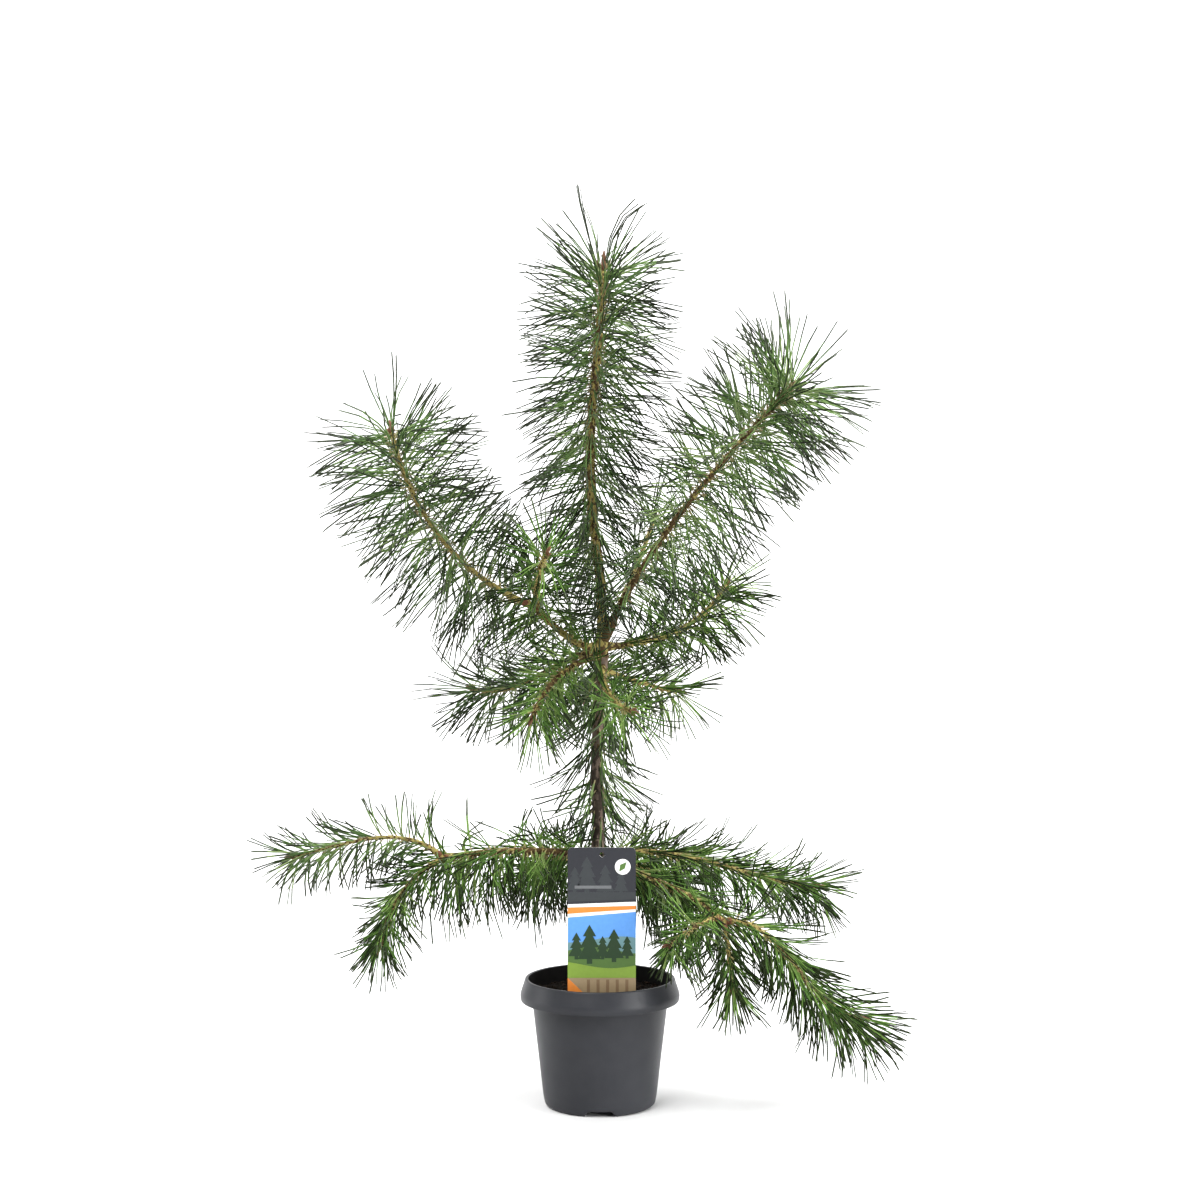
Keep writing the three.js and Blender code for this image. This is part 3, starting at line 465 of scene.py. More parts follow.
def limb_curve(start, limb):
    count = round(limb["length"] / CURVE_STEP)
    points = [np.asarray(start, float)]
    for i in range(count):
        s = (i + 0.5) / count
        way = heads(mix(*limb["heading"], s), through(*limb["pitch"], s))
        points.append(points[-1] + way * limb["length"] / count)
    return Curve(points)


def trunk_point(z):
    """The middle of the trunk at a height, on a smooth line through the sways."""
    spans = len(SWAY_X) - 1
    s = (z - SOIL_TOP) / (TRUNK_TOP - SOIL_TOP) * spans
    i = int(min(spans - 1, max(0, math.floor(s))))
    u = s - i

    def bend(sway):
        a, b, c, d = (sway[max(0, min(spans, k))] for k in (i - 1, i, i + 1, i + 2))
        return b + 0.5 * u * (c - a + u * (2 * a - 5 * b + 4 * c - d + u * (3 * (b - c) + d - a)))

    return np.array([bend(SWAY_X), bend(SWAY_Y), z])


def trunk_radius(z):
    heights, radii = zip(*TRUNK_GIRTH)
    return np.interp(z, heights, radii)


def frames(curve, stations):
    """Points, ways and two directions across, carried along without twist."""
    points, ways = curve.at(stations)
    across = np.zeros_like(points)
    first = np.cross([1.0, 0, 0] if abs(ways[0][2]) > 0.9 else [0, 0, 1.0], ways[0])
    for i, way in enumerate(ways):
        first = unit(first - way * np.dot(first, way))
        across[i] = first
    return points, ways, across, np.cross(ways, across)


# Where every stem and bare limb runs, so that each mass keeps to its own space.

trunk_curve = Curve([trunk_point(z) for z in np.arange(SOIL_TOP - 6, TRUNK_TOP + 0.1, 4)])


def trunk_station(z):
    return np.interp(z, trunk_curve.points[:, 2], trunk_curve.reach)


items = {}
for limb in LIMBS:
    way = heads(limb["heading"][0], limb["pitch"][0])
    foot = limb["girth"][0]
    if "parent" not in limb:
        origin, parent_way = trunk_point(limb["height"]), np.array([0, 0, 1.0])
        parent_radius = trunk_radius(limb["height"])
    else:
        parent = items[limb["parent"]]
        where = limb["at"] * parent["curve"].length
        origin, parent_way = (row[0] for row in parent["curve"].at(where))
        parent_radius = parent["radius"](where)
    along = float(np.dot(way, parent_way))
    tilt = math.sqrt(max(0.0, 1 - along ** 2))
    if limb.get("at") == 1:
        foot = SHOOT_FOOT if "side" in limb else foot
        start = origin + parent_way * (GAP + foot * tilt)
        if "side" in limb:
            start = start + unit(way - parent_way * along) * (SHOOT_FOOT + FORK_GAP)
        root = FORK_ROOT
    else:
        foot = SHOOT_FOOT if "parent" in limb else foot
        root = (parent_radius + GAP + foot * abs(along)) / tilt
        start = origin + way * root
    curve = limb_curve(start, limb)
    girth = limb["girth"]
    items[limb["name"]] = dict(
        limb=limb, curve=curve, root=root, bare=limb["bare"],
        radius=lambda d, a=girth[0], b=girth[1], n=curve.length: mix(a, b, np.clip(d, 0, n) / n),
    )


def samples(curve, first, last):
    return curve.at(np.arange(first, last + 1e-6, CURVE_STEP))[0]


stems = {name: samples(item["curve"], item["bare"], item["curve"].length) for name, item in items.items()}
stems["leader"] = samples(trunk_curve, trunk_station(LEADER_FOOT), trunk_station(LEADER_END))
stem_radii = {name: item["limb"]["girth"][1] for name, item in items.items()}
stem_radii["leader"] = LEADER_RADIUS
bare_limbs = {"trunk": (samples(trunk_curve, 0, trunk_curve.length), TRUNK_RADIUS)}
for name, item in items.items():
    if item["bare"]:
        bare_limbs[name] = (samples(item["curve"], 0, item["bare"]), item["limb"]["girth"][0])
for spray in TRUNK_SPRAYS:
    heights = np.arange(spray["span"][0], spray["span"][1], -8.0)
    out = heads(sum(spray["heading"]) / 2, 0)
    stems[spray["name"]] = np.array([trunk_point(z) + out * (trunk_radius(z) + 1.5) for z in heights])
    stem_radii[spray["name"]] = SPRAY_RADIUS


def nearest(points, marks):
    """The distance from each point to the nearest of the marks, worked out by 64 marks at a time."""
    flat = points.reshape(-1, 3)
    best = np.full(len(flat), 1e9)
    for first in range(0, len(marks), 64):
        gap = flat[:, None, :] - marks[None, first:first + 64, :]
        best = np.minimum(best, np.einsum("abc,abc->ab", gap, gap).min(1))
    return np.sqrt(best).reshape(points.shape[:-1])


def in_pot_or_label(points):
    """True in the pot or its opening, close before its collar, at the label and at the floor."""
    x, y, z = np.moveaxis(points, -1, 0)
    r = np.hypot(x, y)
    low = (z < SOIL_TOP + 5) & (r < POT_COLLAR_RADIUS + 3)
    rim = (z < POT_HEIGHT + 2) & (r < POT_COLLAR_RADIUS + 3) & (r > POT_OPENING_RADIUS - 4)
    before = (z < POT_HEIGHT + 24) & (np.abs(x) < POT_COLLAR_RADIUS + 10) & (y < LABEL_Y + 2)
    beside = (np.abs(x - LABEL_X) < LABEL_WIDTH / 2 + LABEL_MARGIN) & (z < LABEL_TOP + LABEL_MARGIN)
    return low | rim | before | (beside & (y < LABEL_Y + LABEL_MARGIN)) | (z < 2)


def pair_spots(first, last, rule):
    """Where the pairs stand along a stem, drawn together towards its bud."""
    even = np.linspace(0, 1, round((last - first) / PAIR_STEP * rule["dense"]))
    return first + (last - first) * (even * (1 + rule["crowd"] - rule["crowd"] * even))


def needle_points(base, bend, tip, at):
    s = np.asarray(at)[None, :, None]
    return base[:, None] * (1 - s) ** 2 + 2 * bend[:, None] * s * (1 - s) + tip[:, None] * s * s


CHECKED = (0.12, 0.22, 0.32, 0.42, 0.5, 0.58, 0.66, 0.74, 0.82, 0.88, 0.94, 1.0)
FAR_FROM_STEM = np.array(CHECKED) > 0.4


def keeps_clear(name, base, bend, tip, around, mingle):
    """True for needles that touch nothing and keep to their own stem; around is the limb they grow from."""
    points = needle_points(base, bend, tip, CHECKED)
    good = ~in_pot_or_label(points).any(1)
    own = nearest(points, stems[name])
    good &= ~((own < stem_radii[name] + OWN_CLEARANCE) & FAR_FROM_STEM).any(1)
    others = np.concatenate([marks for other, marks in stems.items() if other != name])
    good &= ~(nearest(points, others) < own - mingle).any(1)
    for other, (marks, radius) in bare_limbs.items():
        if other == around:
            good &= ~((nearest(points, marks) < radius + AROUND_CLEARANCE) & FAR_FROM_STEM).any(1)
        elif other != name:
            good &= ~(nearest(points, marks) < radius + OTHER_CLEARANCE).any(1)
    return good


# Needles: two from each sheath.


def grow(name, rule, roots, ways, outs, shares, around=None):
    """Directions by the same rule as the solids, drawn again where a needle would leave its space."""
    random = dealt(name)
    count = len(roots)
    base = roots
    bend = np.zeros_like(base)
    tip = np.zeros_like(base)
    done = np.zeros(count, bool)
    down = np.array([0, 0, -1.0])
    for attempt in range(ATTEMPTS):
        todo = np.flatnonzero(~done)
        if not len(todo):
            break
        way, out, s = ways[todo], outs[todo], shares[todo]
        turn = ((random.random(len(todo)) - 0.5) * (0.5 + 0.2 * attempt))[:, None]
        out = unit(out * np.cos(turn) + np.cross(way, out) * np.sin(turn))
        spread = (random.random(len(todo)) - 0.5) * mix(NEEDLE_SPREAD, TIP_SPREAD, s ** 4)
        lean = np.radians(mix(*rule["lean"], s ** rule["ease"]) + spread)[:, None]
        heading = unit(way * np.cos(lean) + out * np.sin(lean) + down * rule["droop"])
        reach = rule["needle"] * (LONGEST - (UNEVEN + rule["ragged"]) * random.random((len(todo), 1)))
        if rule["droop"] > HANGING:
            reach = reach * (1 - 0.4 * np.clip(heading[:, 2:], 0, 1))
        if attempt >= SHORT_ATTEMPT:
            reach = reach * SHORT_REACH
        end = base[todo] + heading * reach
        stray = random.normal(size=(len(todo), 3)) * 0.12
        early = unit(heading + way * 0.16 + stray)
        middle = base[todo] + early * reach * 0.5
        good = keeps_clear(name, base[todo], middle, end, around, rule["mingle"])
        kept = todo[good]
        bend[kept] = middle[good]
        tip[kept] = end[good]
        done[kept] = True
    return base[done], bend[done], tip[done], shares[done], done


def needle_mesh(name, base, bend, tip, tint, darker):
    """A pair of slim, three-sided, slightly curved needles from each root, in tints that darken outwards, with
    painted shade on the outer part where the limb's rule asks for it.
    """
    random = dealt(name + "_pairs")
    count = len(base)
    chord = tip - base
    length = np.linalg.norm(chord, axis=1, keepdims=True)
    aside = unit(np.cross(chord, unit(random.normal(size=(count, 3)))))
    rings, at = len(NEEDLE_RINGS), np.array(NEEDLE_RINGS)
    per = rings * 3 + 1
    cell = [(i * 3 + k, i * 3 + (k + 1) % 3, i * 3 + 3 + (k + 1) % 3, i * 3 + 3 + k)
            for i in range(rings - 1) for k in range(3)]
    cell += [((rings - 1) * 3 + k, (rings - 1) * 3 + (k + 1) % 3, per - 1) for k in range(3)]
    faces = [tuple(c + first for c in face) for first in range(0, count * per, per) for face in cell]
    shape = Shape()
    for half in (-1, 1):
        part = half * length * (0.022 + 0.09 * random.random((count, 1)))
        swing = unit(np.cross(chord, aside)) * length * (random.random((count, 1)) - 0.5) * 0.05
        far = tip + aside * part + swing
        far = base + (far - base) * (0.94 + 0.08 * random.random((count, 1)))
        mid = bend + aside * part * 0.36
        points = needle_points(base + aside * half * 0.28, mid, far, NEEDLE_RINGS)
        following = needle_points(base, mid, far, np.minimum(at + 0.02, 1))
        way = unit(following - points + 1e-6)
        side = unit(aside[:, None] - way * np.sum(way * aside[:, None], 2, keepdims=True))
        other = np.cross(way, side)
        width = NEEDLE_WIDTH / 2 * (0.88 + 0.24 * random.random((count, 1, 1)))
        width = width * np.array(NEEDLE_WIDTHS)[None, :, None]
        corners = np.zeros((count, per, 3))
        for k, angle in enumerate((90, 210, 330)):
            a = math.radians(angle)
            edge = side * math.cos(a) * 1.1 + other * math.sin(a) * 0.75
            corners[:, k:rings * 3:3] = points + width * edge
        corners[:, -1] = far
        spans = np.repeat(tint[:, None], rings, 1)
        spans[:, 1] = np.clip(tint + (random.random(count) < 0.8), 0, LIGHTEST)
        # The outer spans step down to darker tints; the limb's extra step down there is painted shade.
        spans[:, 3] = ENDS[np.clip(tint - darker - (random.random(count) < 0.8), 0, 2)]
        spans[:, 4] = ENDS[np.clip(tint - darker - 1 - (random.random(count) < 0.6), 0, 2)]
        spans[:, 0] = SHEATH
        shape.add(corners, faces, np.repeat(spans, 3, 1).reshape(-1))
    return shape


def spray_tints(name, roots, tips, order, glow):
    """A tint for each pair, by a draw for its spray, one of its own, and the painted light, stronger at the
    front, which leaves the needles further back in painted shade.
    """
    random = dealt(name + "_tint")
    sprays = order // PAIRS_IN_SPRAY
    drawn = random.random(sprays.max() + 1)[sprays]
    own = random.random(len(roots))
    # Painted shade: needles further back get less of the painted light than those at the front.
    front = smooth(120, -160, (roots[:, 1] + tips[:, 1]) / 2)
    value = 0.6 * drawn + 0.6 * own + glow * (0.35 + 0.65 * front) - 0.16
    return np.digitize(value, TINT_BOUNDS).astype(int)


def deal_needles(name, rule, roots, ways, outs, shares, glow, around=None, more=()):
    """The needles of one mass, and more pairs given by root, bend and tip."""
    base, bend, tip, shares, done = grow(name, rule, roots, ways, outs, shares, around)
    tint = spray_tints(name, base, tip, np.flatnonzero(done), glow + rule["rise"] * (shares - 0.5))
    for extra in more:
        base, bend, tip = (np.vstack([rows, row]) for rows, row in zip((base, bend, tip), extra))
        tint = np.append(tint, 0)
    shape = needle_mesh(name, base, bend, tip, tint, rule["darker"])
    node = name if "needles" in name else name + "_needles"
    greens = OUTER_NEEDLES if rule["outer"] else HEART_NEEDLES
    shape.piece(node.replace("needles", "sprays"), greens, "needles", [node])


# Bark relief: a cushion below each sheath, drawn out down the stem.


def cushion_relief(stations, angles, radius, lattice, length=6.5, width=1.7):
    relief = np.zeros((len(stations), len(angles)))
    for d, phi in lattice:
        rows = np.flatnonzero((stations > d - length) & (stations < d + 1.4))
        if not len(rows):
            continue
        a = (stations[rows] - d) / length
        rise = np.where(a <= 0, (1 + a) ** 0.8, np.clip(1 - a * length / 1.4, 0, 1))
        turn = (angles - phi + math.pi) % (2 * math.pi) - math.pi
        b = turn * radius[rows][:, None] / (width * (0.55 + 0.45 * rise[:, None]))
        relief[rows] = np.maximum(relief[rows], rise[:, None] * np.clip(1 - b * b, 0, 1))
    return relief


def ring_angles(sides):
    return np.arange(sides) * 2 * math.pi / sides


def rings_of(points, across, other, radius):
    angles = ring_angles(radius.shape[1])
    out = across[:, None] * np.cos(angles)[None, :, None] + other[:, None] * np.sin(angles)[None, :, None]
    return points[:, None] + out * radius[:, :, None]


def skin(points, across, other, girth, sides):
    """Points all round a stem at its plain girth."""
    return rings_of(points, across, other, np.repeat(girth[:, None], sides, 1)).reshape(-1, 3)


def face_level(values):
    wrapped = np.concatenate([values, values[:, :1]], 1)
    return (wrapped[:-1, :-1] + wrapped[1:, :-1] + wrapped[:-1, 1:] + wrapped[1:, 1:]) / 4


def add_bud(shape, point, way, length, radius, turn=0.0):
    """An egg-shaped bud with five rows of pointed, overlapping scales."""
    rows, sides = 22, 20
    t = np.linspace(0, 1, rows)
    angles = ring_angles(sides)
    belly = np.sin(math.pi * np.clip(t * 0.86 + 0.14, 0, 1))
    profile = radius * np.sqrt(np.clip(belly, 0, 1)) * (1 - 0.35 * t)
    way = unit(way)
    across = unit(np.cross(way, [0.3, 0.9, 0.1]))
    other = np.cross(way, across)
    scales = np.abs(((angles + turn) * 5 / (2 * math.pi) % 1) - 0.5)
    tiers = 6 * t[:, None] ** 0.9 - 0.55 * scales[None, :] * 2
    step = tiers % 1
    radii = profile[:, None] * (1 + 0.16 * (1 - step) * (t[:, None] < 0.95))
    centres = point + way * (t[:, None] * length)
    rings = rings_of(centres, across[None], other[None], radii)
    paint = (face_level(step) < 0.24).astype(int)
    shape.grid(rings, paint, caps=(point, point + way * length))


def bud_cluster(shape, point, way, length, radius, sides_count, random):
    way = unit(way)
    across = unit(np.cross(way, [0.2, 0.3, 0.9]))
    other = np.cross(way, across)
    add_bud(shape, point - way * 2, way, length + 2, radius)
    for i in range(sides_count):
        a = 2 * math.pi * (i + 0.3 * random.random()) / sides_count
        out = across * math.cos(a) + other * math.sin(a)
        lean = math.radians(26 + 14 * random.random())
        side_way = way * math.cos(lean) + out * math.sin(lean)
        start = point + out * radius * 0.72 - way * (2.0 + random.random())
        add_bud(shape, start, side_way, length * (0.5 + 0.16 * random.random()), radius * 0.66, a)


# Trunk.


def make_trunk():
    stations = np.arange(0, trunk_curve.length, 1.6)
    points, _, across, other = frames(trunk_curve, stations)
    sides = 32
    angles = ring_angles(sides)
    heights = points[:, 2]
    girth = trunk_radius(heights)
    where = skin(points, across, other, girth, sides)
    old = 1 - smooth(OLD_BARK_TOP, YOUNG_BARK_FOOT, heights)
    young = smooth(YOUNG_BARK_FOOT - 60, LEADER_FOOT, heights)
    plates = lumps(where / [3.4, 3.4, 9.0], 3) + 0.5 * lumps(where / [1.7, 1.7, 4.2], 4)
    flakes = np.tanh(plates.reshape(-1, sides) * 3)
    marks = np.arange(200, trunk_curve.length - 3, 1.25)
    lattice = [(d, i * GOLDEN % (2 * math.pi)) for i, d in enumerate(marks)]
    cushions = cushion_relief(stations, angles, girth, lattice, 8.5, 2.1)
    flare = 1 - smooth(SOIL_TOP, SOIL_TOP + 26, heights)
    lobes = 1 + 0.16 * flare[:, None] * np.cos(5 * angles + 0.7)[None, :]
    knots = sum(np.exp(-((heights - z) / 9) ** 2) for z in WHORLS)
    rough = lumps(where / [4.5, 4.5, 5.0], 9).reshape(-1, sides)
    radius = girth[:, None] * lobes - 0.35 + old[:, None] * 0.75 * flakes
    radius = radius + (0.25 + 0.45 * young[:, None]) * cushions + knots[:, None] * rough * 0.9
    rings = rings_of(points, across, other, radius)
    flake_level = face_level(flakes)
    cushion_level = face_level(cushions)
    rows = flake_level.shape[0]
    old_rows = (old[:rows] > 0.45)[:, None]
    young_rows = (young[:rows] > 0.55)[:, None]
    paint = np.where(flake_level > 0.25, OLD_PLATE, OLD_DARK)
    middle = np.where(cushion_level > 0.42, YOUNG, OLD_PLATE)
    leader = np.where(cushion_level > 0.56, SCALE, np.where(face_level(rough) > 0.2, YOUNG, OLIVE))
    paint = np.where(old_rows, paint, np.where(young_rows, leader, middle))
    shape = Shape()
    shape.grid(rings, paint, caps=(points[0], points[-1]))
    shape.piece("trunk_bark", BARK_MATERIALS, "bark", ["trunk"])
    buds = Shape()
    crown, way = (row[0] for row in trunk_curve.at(trunk_curve.length))
    bud_cluster(buds, crown, way, 22, 3.2, 6, dealt("leading_buds"))
    buds.piece("leading_buds", BUD_MATERIALS, "bark", ["trunk"])


def leader_needles():
    stations = pair_spots(trunk_station(WHORL_FOOT), trunk_station(LEADER_END), LEADER)
    points, ways = trunk_curve.at(stations)
    phi = np.arange(len(stations)) * GOLDEN
    open_side = (points[:, 2] < LEADER_OPEN_TOP) & (np.cos(phi) > 0.2)
    kept = ~open_side | (dealt("leader_open_side").random(len(phi)) > 0.35)
    points, ways, phi = points[kept], ways[kept], phi[kept]
    out = square_to(ways, circle(phi))
    roots = points + out * (trunk_radius(points[:, 2]) - ROOT_DEPTH)[:, None]
    shares = np.clip((points[:, 2] - LEADER_FOOT) / (LEADER_END - LEADER_FOOT), 0, 1)
    # The painted light of the leader's needles.
    glow = 0.2 + 0.55 * (1 - smooth(520, 700, points[:, 2]).mean())
    deal_needles("leader", LEADER, roots, ways, out, shares, glow, "trunk", CROWN_NEEDLES)


def trunk_needles(spray):
    random = dealt(spray["name"] + "_roots")
    count = spray["pairs"]
    shares = np.sort(random.random(count))
    heights = mix(*spray["span"], shares)
    out = circle(np.radians(mix(*spray["heading"], random.random(count))))
    points = np.array([trunk_point(z) for z in heights])
    roots = points + out * (trunk_radius(heights) - ROOT_DEPTH)[:, None]
    ways = np.tile([0, 0, -1.0], (count, 1))
    deal_needles(spray["name"], spray, roots, ways, out, shares, spray["glow"], "trunk")


# Limbs with their needles.


def make_limb(item):
    limb, curve, name, bare = item["limb"], item["curve"], item["limb"]["name"], item["bare"]
    forked = name in FORKED
    random = dealt(name + "_limb")
    end = curve.length - (0 if forked else BUD_BACK)
    stations = np.arange(-item["root"] * 0.8, end + 0.01, 1.5)
    points, ways, across, other = frames(curve, stations)
    sides = 18
    angles = ring_angles(sides)
    girth = item["radius"](stations) * (1 - limb["slim"] * smooth(0, 60, stations))
    collar = 1 + (0.12 if "parent" in limb else 0.35) * (1 - smooth(0, 9, stations))
    knot = np.exp(-((stations - 3) / 3.2) ** 2) * (0.14 if "parent" in limb else 0.05)
    if forked:
        knot = knot + 0.28 * np.exp(-((stations - curve.length + 2) / 4.5) ** 2)
        girth = girth * np.sqrt(np.clip((curve.length + 2.0 - stations) / 3.5, 0.05, 1))
    spots = pair_spots(max(6.0, bare * 0.35), end - 1.5, limb)
    phis = np.arange(len(spots)) * GOLDEN + random.random() * 6
    lattice = list(zip(spots, phis % (2 * math.pi)))[::2 if limb["dense"] > 1.2 else 1]
    cushions = cushion_relief(stations, angles, girth, lattice)
    where = skin(points, across, other, girth, sides)
    rough = lumps(where / [2.2, 2.2, 2.8], 21).reshape(-1, sides)
    aged = 1 - smooth(bare * 0.4, bare + 30, stations) if bare else 0 * stations
    radius = (girth * collar * (1 + knot))[:, None] - 0.2 + 0.5 * cushions
    rings = rings_of(points, across, other, radius + (0.12 + 0.3 * aged[:, None]) * rough)
    level, shade = face_level(cushions), face_level(rough)
    rows = len(level)
    paint = np.where(level > 0.56, SCALE, np.where(shade > limb["olive"], YOUNG, OLIVE))
    worn = np.where(level > 0.5, SCALE, np.where(shade > limb["olive"] - 0.3, YOUNG, OLIVE))
    paint = np.where((aged[:rows] > 0.45)[:, None], worn, paint)
    paint = np.where((knot[:rows] > 0.07)[:, None] & (shade > -0.35), KNOT, paint)
    shape = Shape()
    shape.grid(rings, paint, caps=(points[0], points[-1] + ways[-1] * (0.6 if forked else 0)))
    nodes = [name + "_needles"] + ([name + "_bough"] if bare else [])
    shape.piece(name + "_limb", BARK_MATERIALS, "bark", nodes)
    if not forked:
        buds = Shape()
        thin = limb["girth"][1]
        bud_cluster(buds, points[-1], ways[-1], BUD_BACK - 1, thin * 0.82, 4 if thin > 3 else 3, random)
        buds.piece(name + "_buds", BUD_MATERIALS, "bark", [name + "_needles"])
    points, ways = curve.at(spots)
    aside = square_to(ways, read_off(spots, stations, across))
    out = aside * np.cos(phis)[:, None] + np.cross(ways, aside) * np.sin(phis)[:, None]
    roots = points + out * (np.interp(spots, stations, girth) - 0.2)[:, None]
    shares = np.clip((spots - bare) / (curve.length - bare), 0, 1)
    inner = 1 - smooth(40, 230, np.linalg.norm(points[:, :2], axis=1)).mean()
    # The limb's painted light: more for limbs near the trunk, plus its own value, which is low for shaded
    # limbs.
    deal_needles(name, limb, roots, ways, out, shares, 0.12 + 0.42 * inner + limb["glow"])


make_trunk()
leader_needles()
for spray in TRUNK_SPRAYS:
    trunk_needles(spray)
for item in items.values():
    make_limb(item)


# Pot: lathe with rounded edges, notched foot, drain holes.


def rounded(profile, steps=5):
    """Points of (r, z, fillet): each corner is replaced by an arc of about that radius."""
    points = []
    for i, (r, z, fillet) in enumerate(profile):
        here = np.array([r, z], float)
        if fillet == 0 or i in (0, len(profile) - 1):
            points.append(here)
            continue
        before = np.array(profile[i - 1][:2], float)
        after = np.array(profile[i + 1][:2], float)
        back, on = before - here, after - here
        reach = min(fillet, 0.48 * np.linalg.norm(back), 0.48 * np.linalg.norm(on))
        a = here + unit(back) * reach
        b = here + unit(on) * reach
        for s in np.linspace(0, 1, steps):
            points.append(a * (1 - s) ** 2 + 2 * here * s * (1 - s) + b * s * s)
    return np.array(points)


def denser(points, step):
    out = [points[0]]
    for a, b in zip(points[:-1], points[1:]):
        count = max(1, math.ceil(np.linalg.norm(b - a) / step))
        out.extend(mix(a, b, (i + 1) / count) for i in range(count))
    return np.array(out)


# From the middle of the underside up the outside and down the inside: radius, height, rounding.
POT_PROFILE = [
    (0, 0, 0), (PAD_RADIUS, 0, 1), (PAD_RADIUS, POT_UNDERSIDE, 1), (57.5, POT_UNDERSIDE, 1), (57.5, 0, 1.2),
    (61.2, 0, 2.5), (64.9, 2.4, 4), (66.7, 11, 3), (80, 123, 2.5), (82.4, 127.2, 2), (91.4, 124, 2),
    (92.9, 121.8, 1.6), (94.2, 129, 5), (89.5, 143, 5), (88, POT_HEIGHT, 1.1),
    (POT_OPENING_RADIUS, POT_HEIGHT, 1.2), (83.1, 144, 3), (78.2, 122, 4), (64.7, 13, 3),
    (60.7, POT_FLOOR, 2), (0, POT_FLOOR, 0),
]


def cut_out(obj, cutter):
    """Takes the cutter out of a piece for good."""
    cut = obj.modifiers.new("cut", "BOOLEAN")
    cut.operation = "DIFFERENCE"
    cut.solver = "EXACT"
    cut.object = cutter
    bpy.context.view_layer.update()
    evaluated = obj.evaluated_get(bpy.context.evaluated_depsgraph_get())
    made = bpy.data.meshes.new_from_object(evaluated)
    obj.modifiers.clear()
    obj.data = made
    bpy.data.objects.remove(cutter)
    shade_faces(made)
    made.set_sharp_from_angle(angle=math.radians(38))
    made.update()


def make_pot():
    profile = denser(rounded(POT_PROFILE), 6)[1:-1]
    sides = 288
    angles = ring_angles(sides) - math.pi / 2
    rings = np.zeros((len(profile), sides, 3))
    for row, (r, z) in enumerate(profile):
        arc = (np.degrees(angles) + 90 + 60) % 120 - 60
        across = np.abs(np.radians(arc)) * r
        lift = 1 - smooth(NOTCH_TOP_HALF - 0.6, NOTCH_FOOT_HALF, across)
        raised = z + np.clip(NOTCH_HEIGHT + 0.35 * z / NOTCH_HEIGHT - z, 0, None) * lift
        rings[row] = r * circle(angles)
        rings[row, :, 2] = np.where(PAD_RADIUS + 2 < r < POT_FOOT_RADIUS and z < NOTCH_HEIGHT, raised, z)
    shape = Shape()
    brim = max(row for row, (r, z) in enumerate(profile) if z > POT_HEIGHT - 0.6)
    # The inner faces take the second, near-black paint: painted shade on the same plastic.
    painted_shade_inside = (np.arange(len(rings) - 1) > brim).astype(int)[:, None]
    shape.grid(rings, painted_shade_inside, caps=([0, 0, 0], [0, 0, POT_FLOOR]))
    pot = shape.piece("pot_shell", pot_materials(), "pot_plastic", ["pot"])
    drains = Shape()
    for i in range(DRAINS):
        hub = DRAIN_CIRCLE * heads(360 / DRAINS * (i + 0.5), 0)
        ends = [hub + [0, 0, -2], hub + [0, 0, POT_FLOOR + 4]]
        ring = DRAIN_RADIUS * circle(ring_angles(32))
        drains.grid(np.stack([end + ring for end in ends]), 0, caps=ends)
    cut_out(pot, drains.thing("drain_cutter"))


def pot_materials():
    return [
        material("pot_anthracite", (0.020, 0.021, 0.025), 0.42, noise=(55, (0.025, 0.026, 0.030)), share=0.6,
                 bump=(2600, 0.2, 0.22), specular=0.22),
        # The inside is the same plastic, painted near-black as painted shade.
        material("pot_inside_painted_shade", (0.004, 0.004, 0.004), 0.8, noise=(90, (0.007, 0.006, 0.006)), share=0.6,
                 bump=(1400, 0.3, 0.3), specular=0.06),
    ]


# Soil: a lumpy bed with crumbs, none at the trunk or the label.


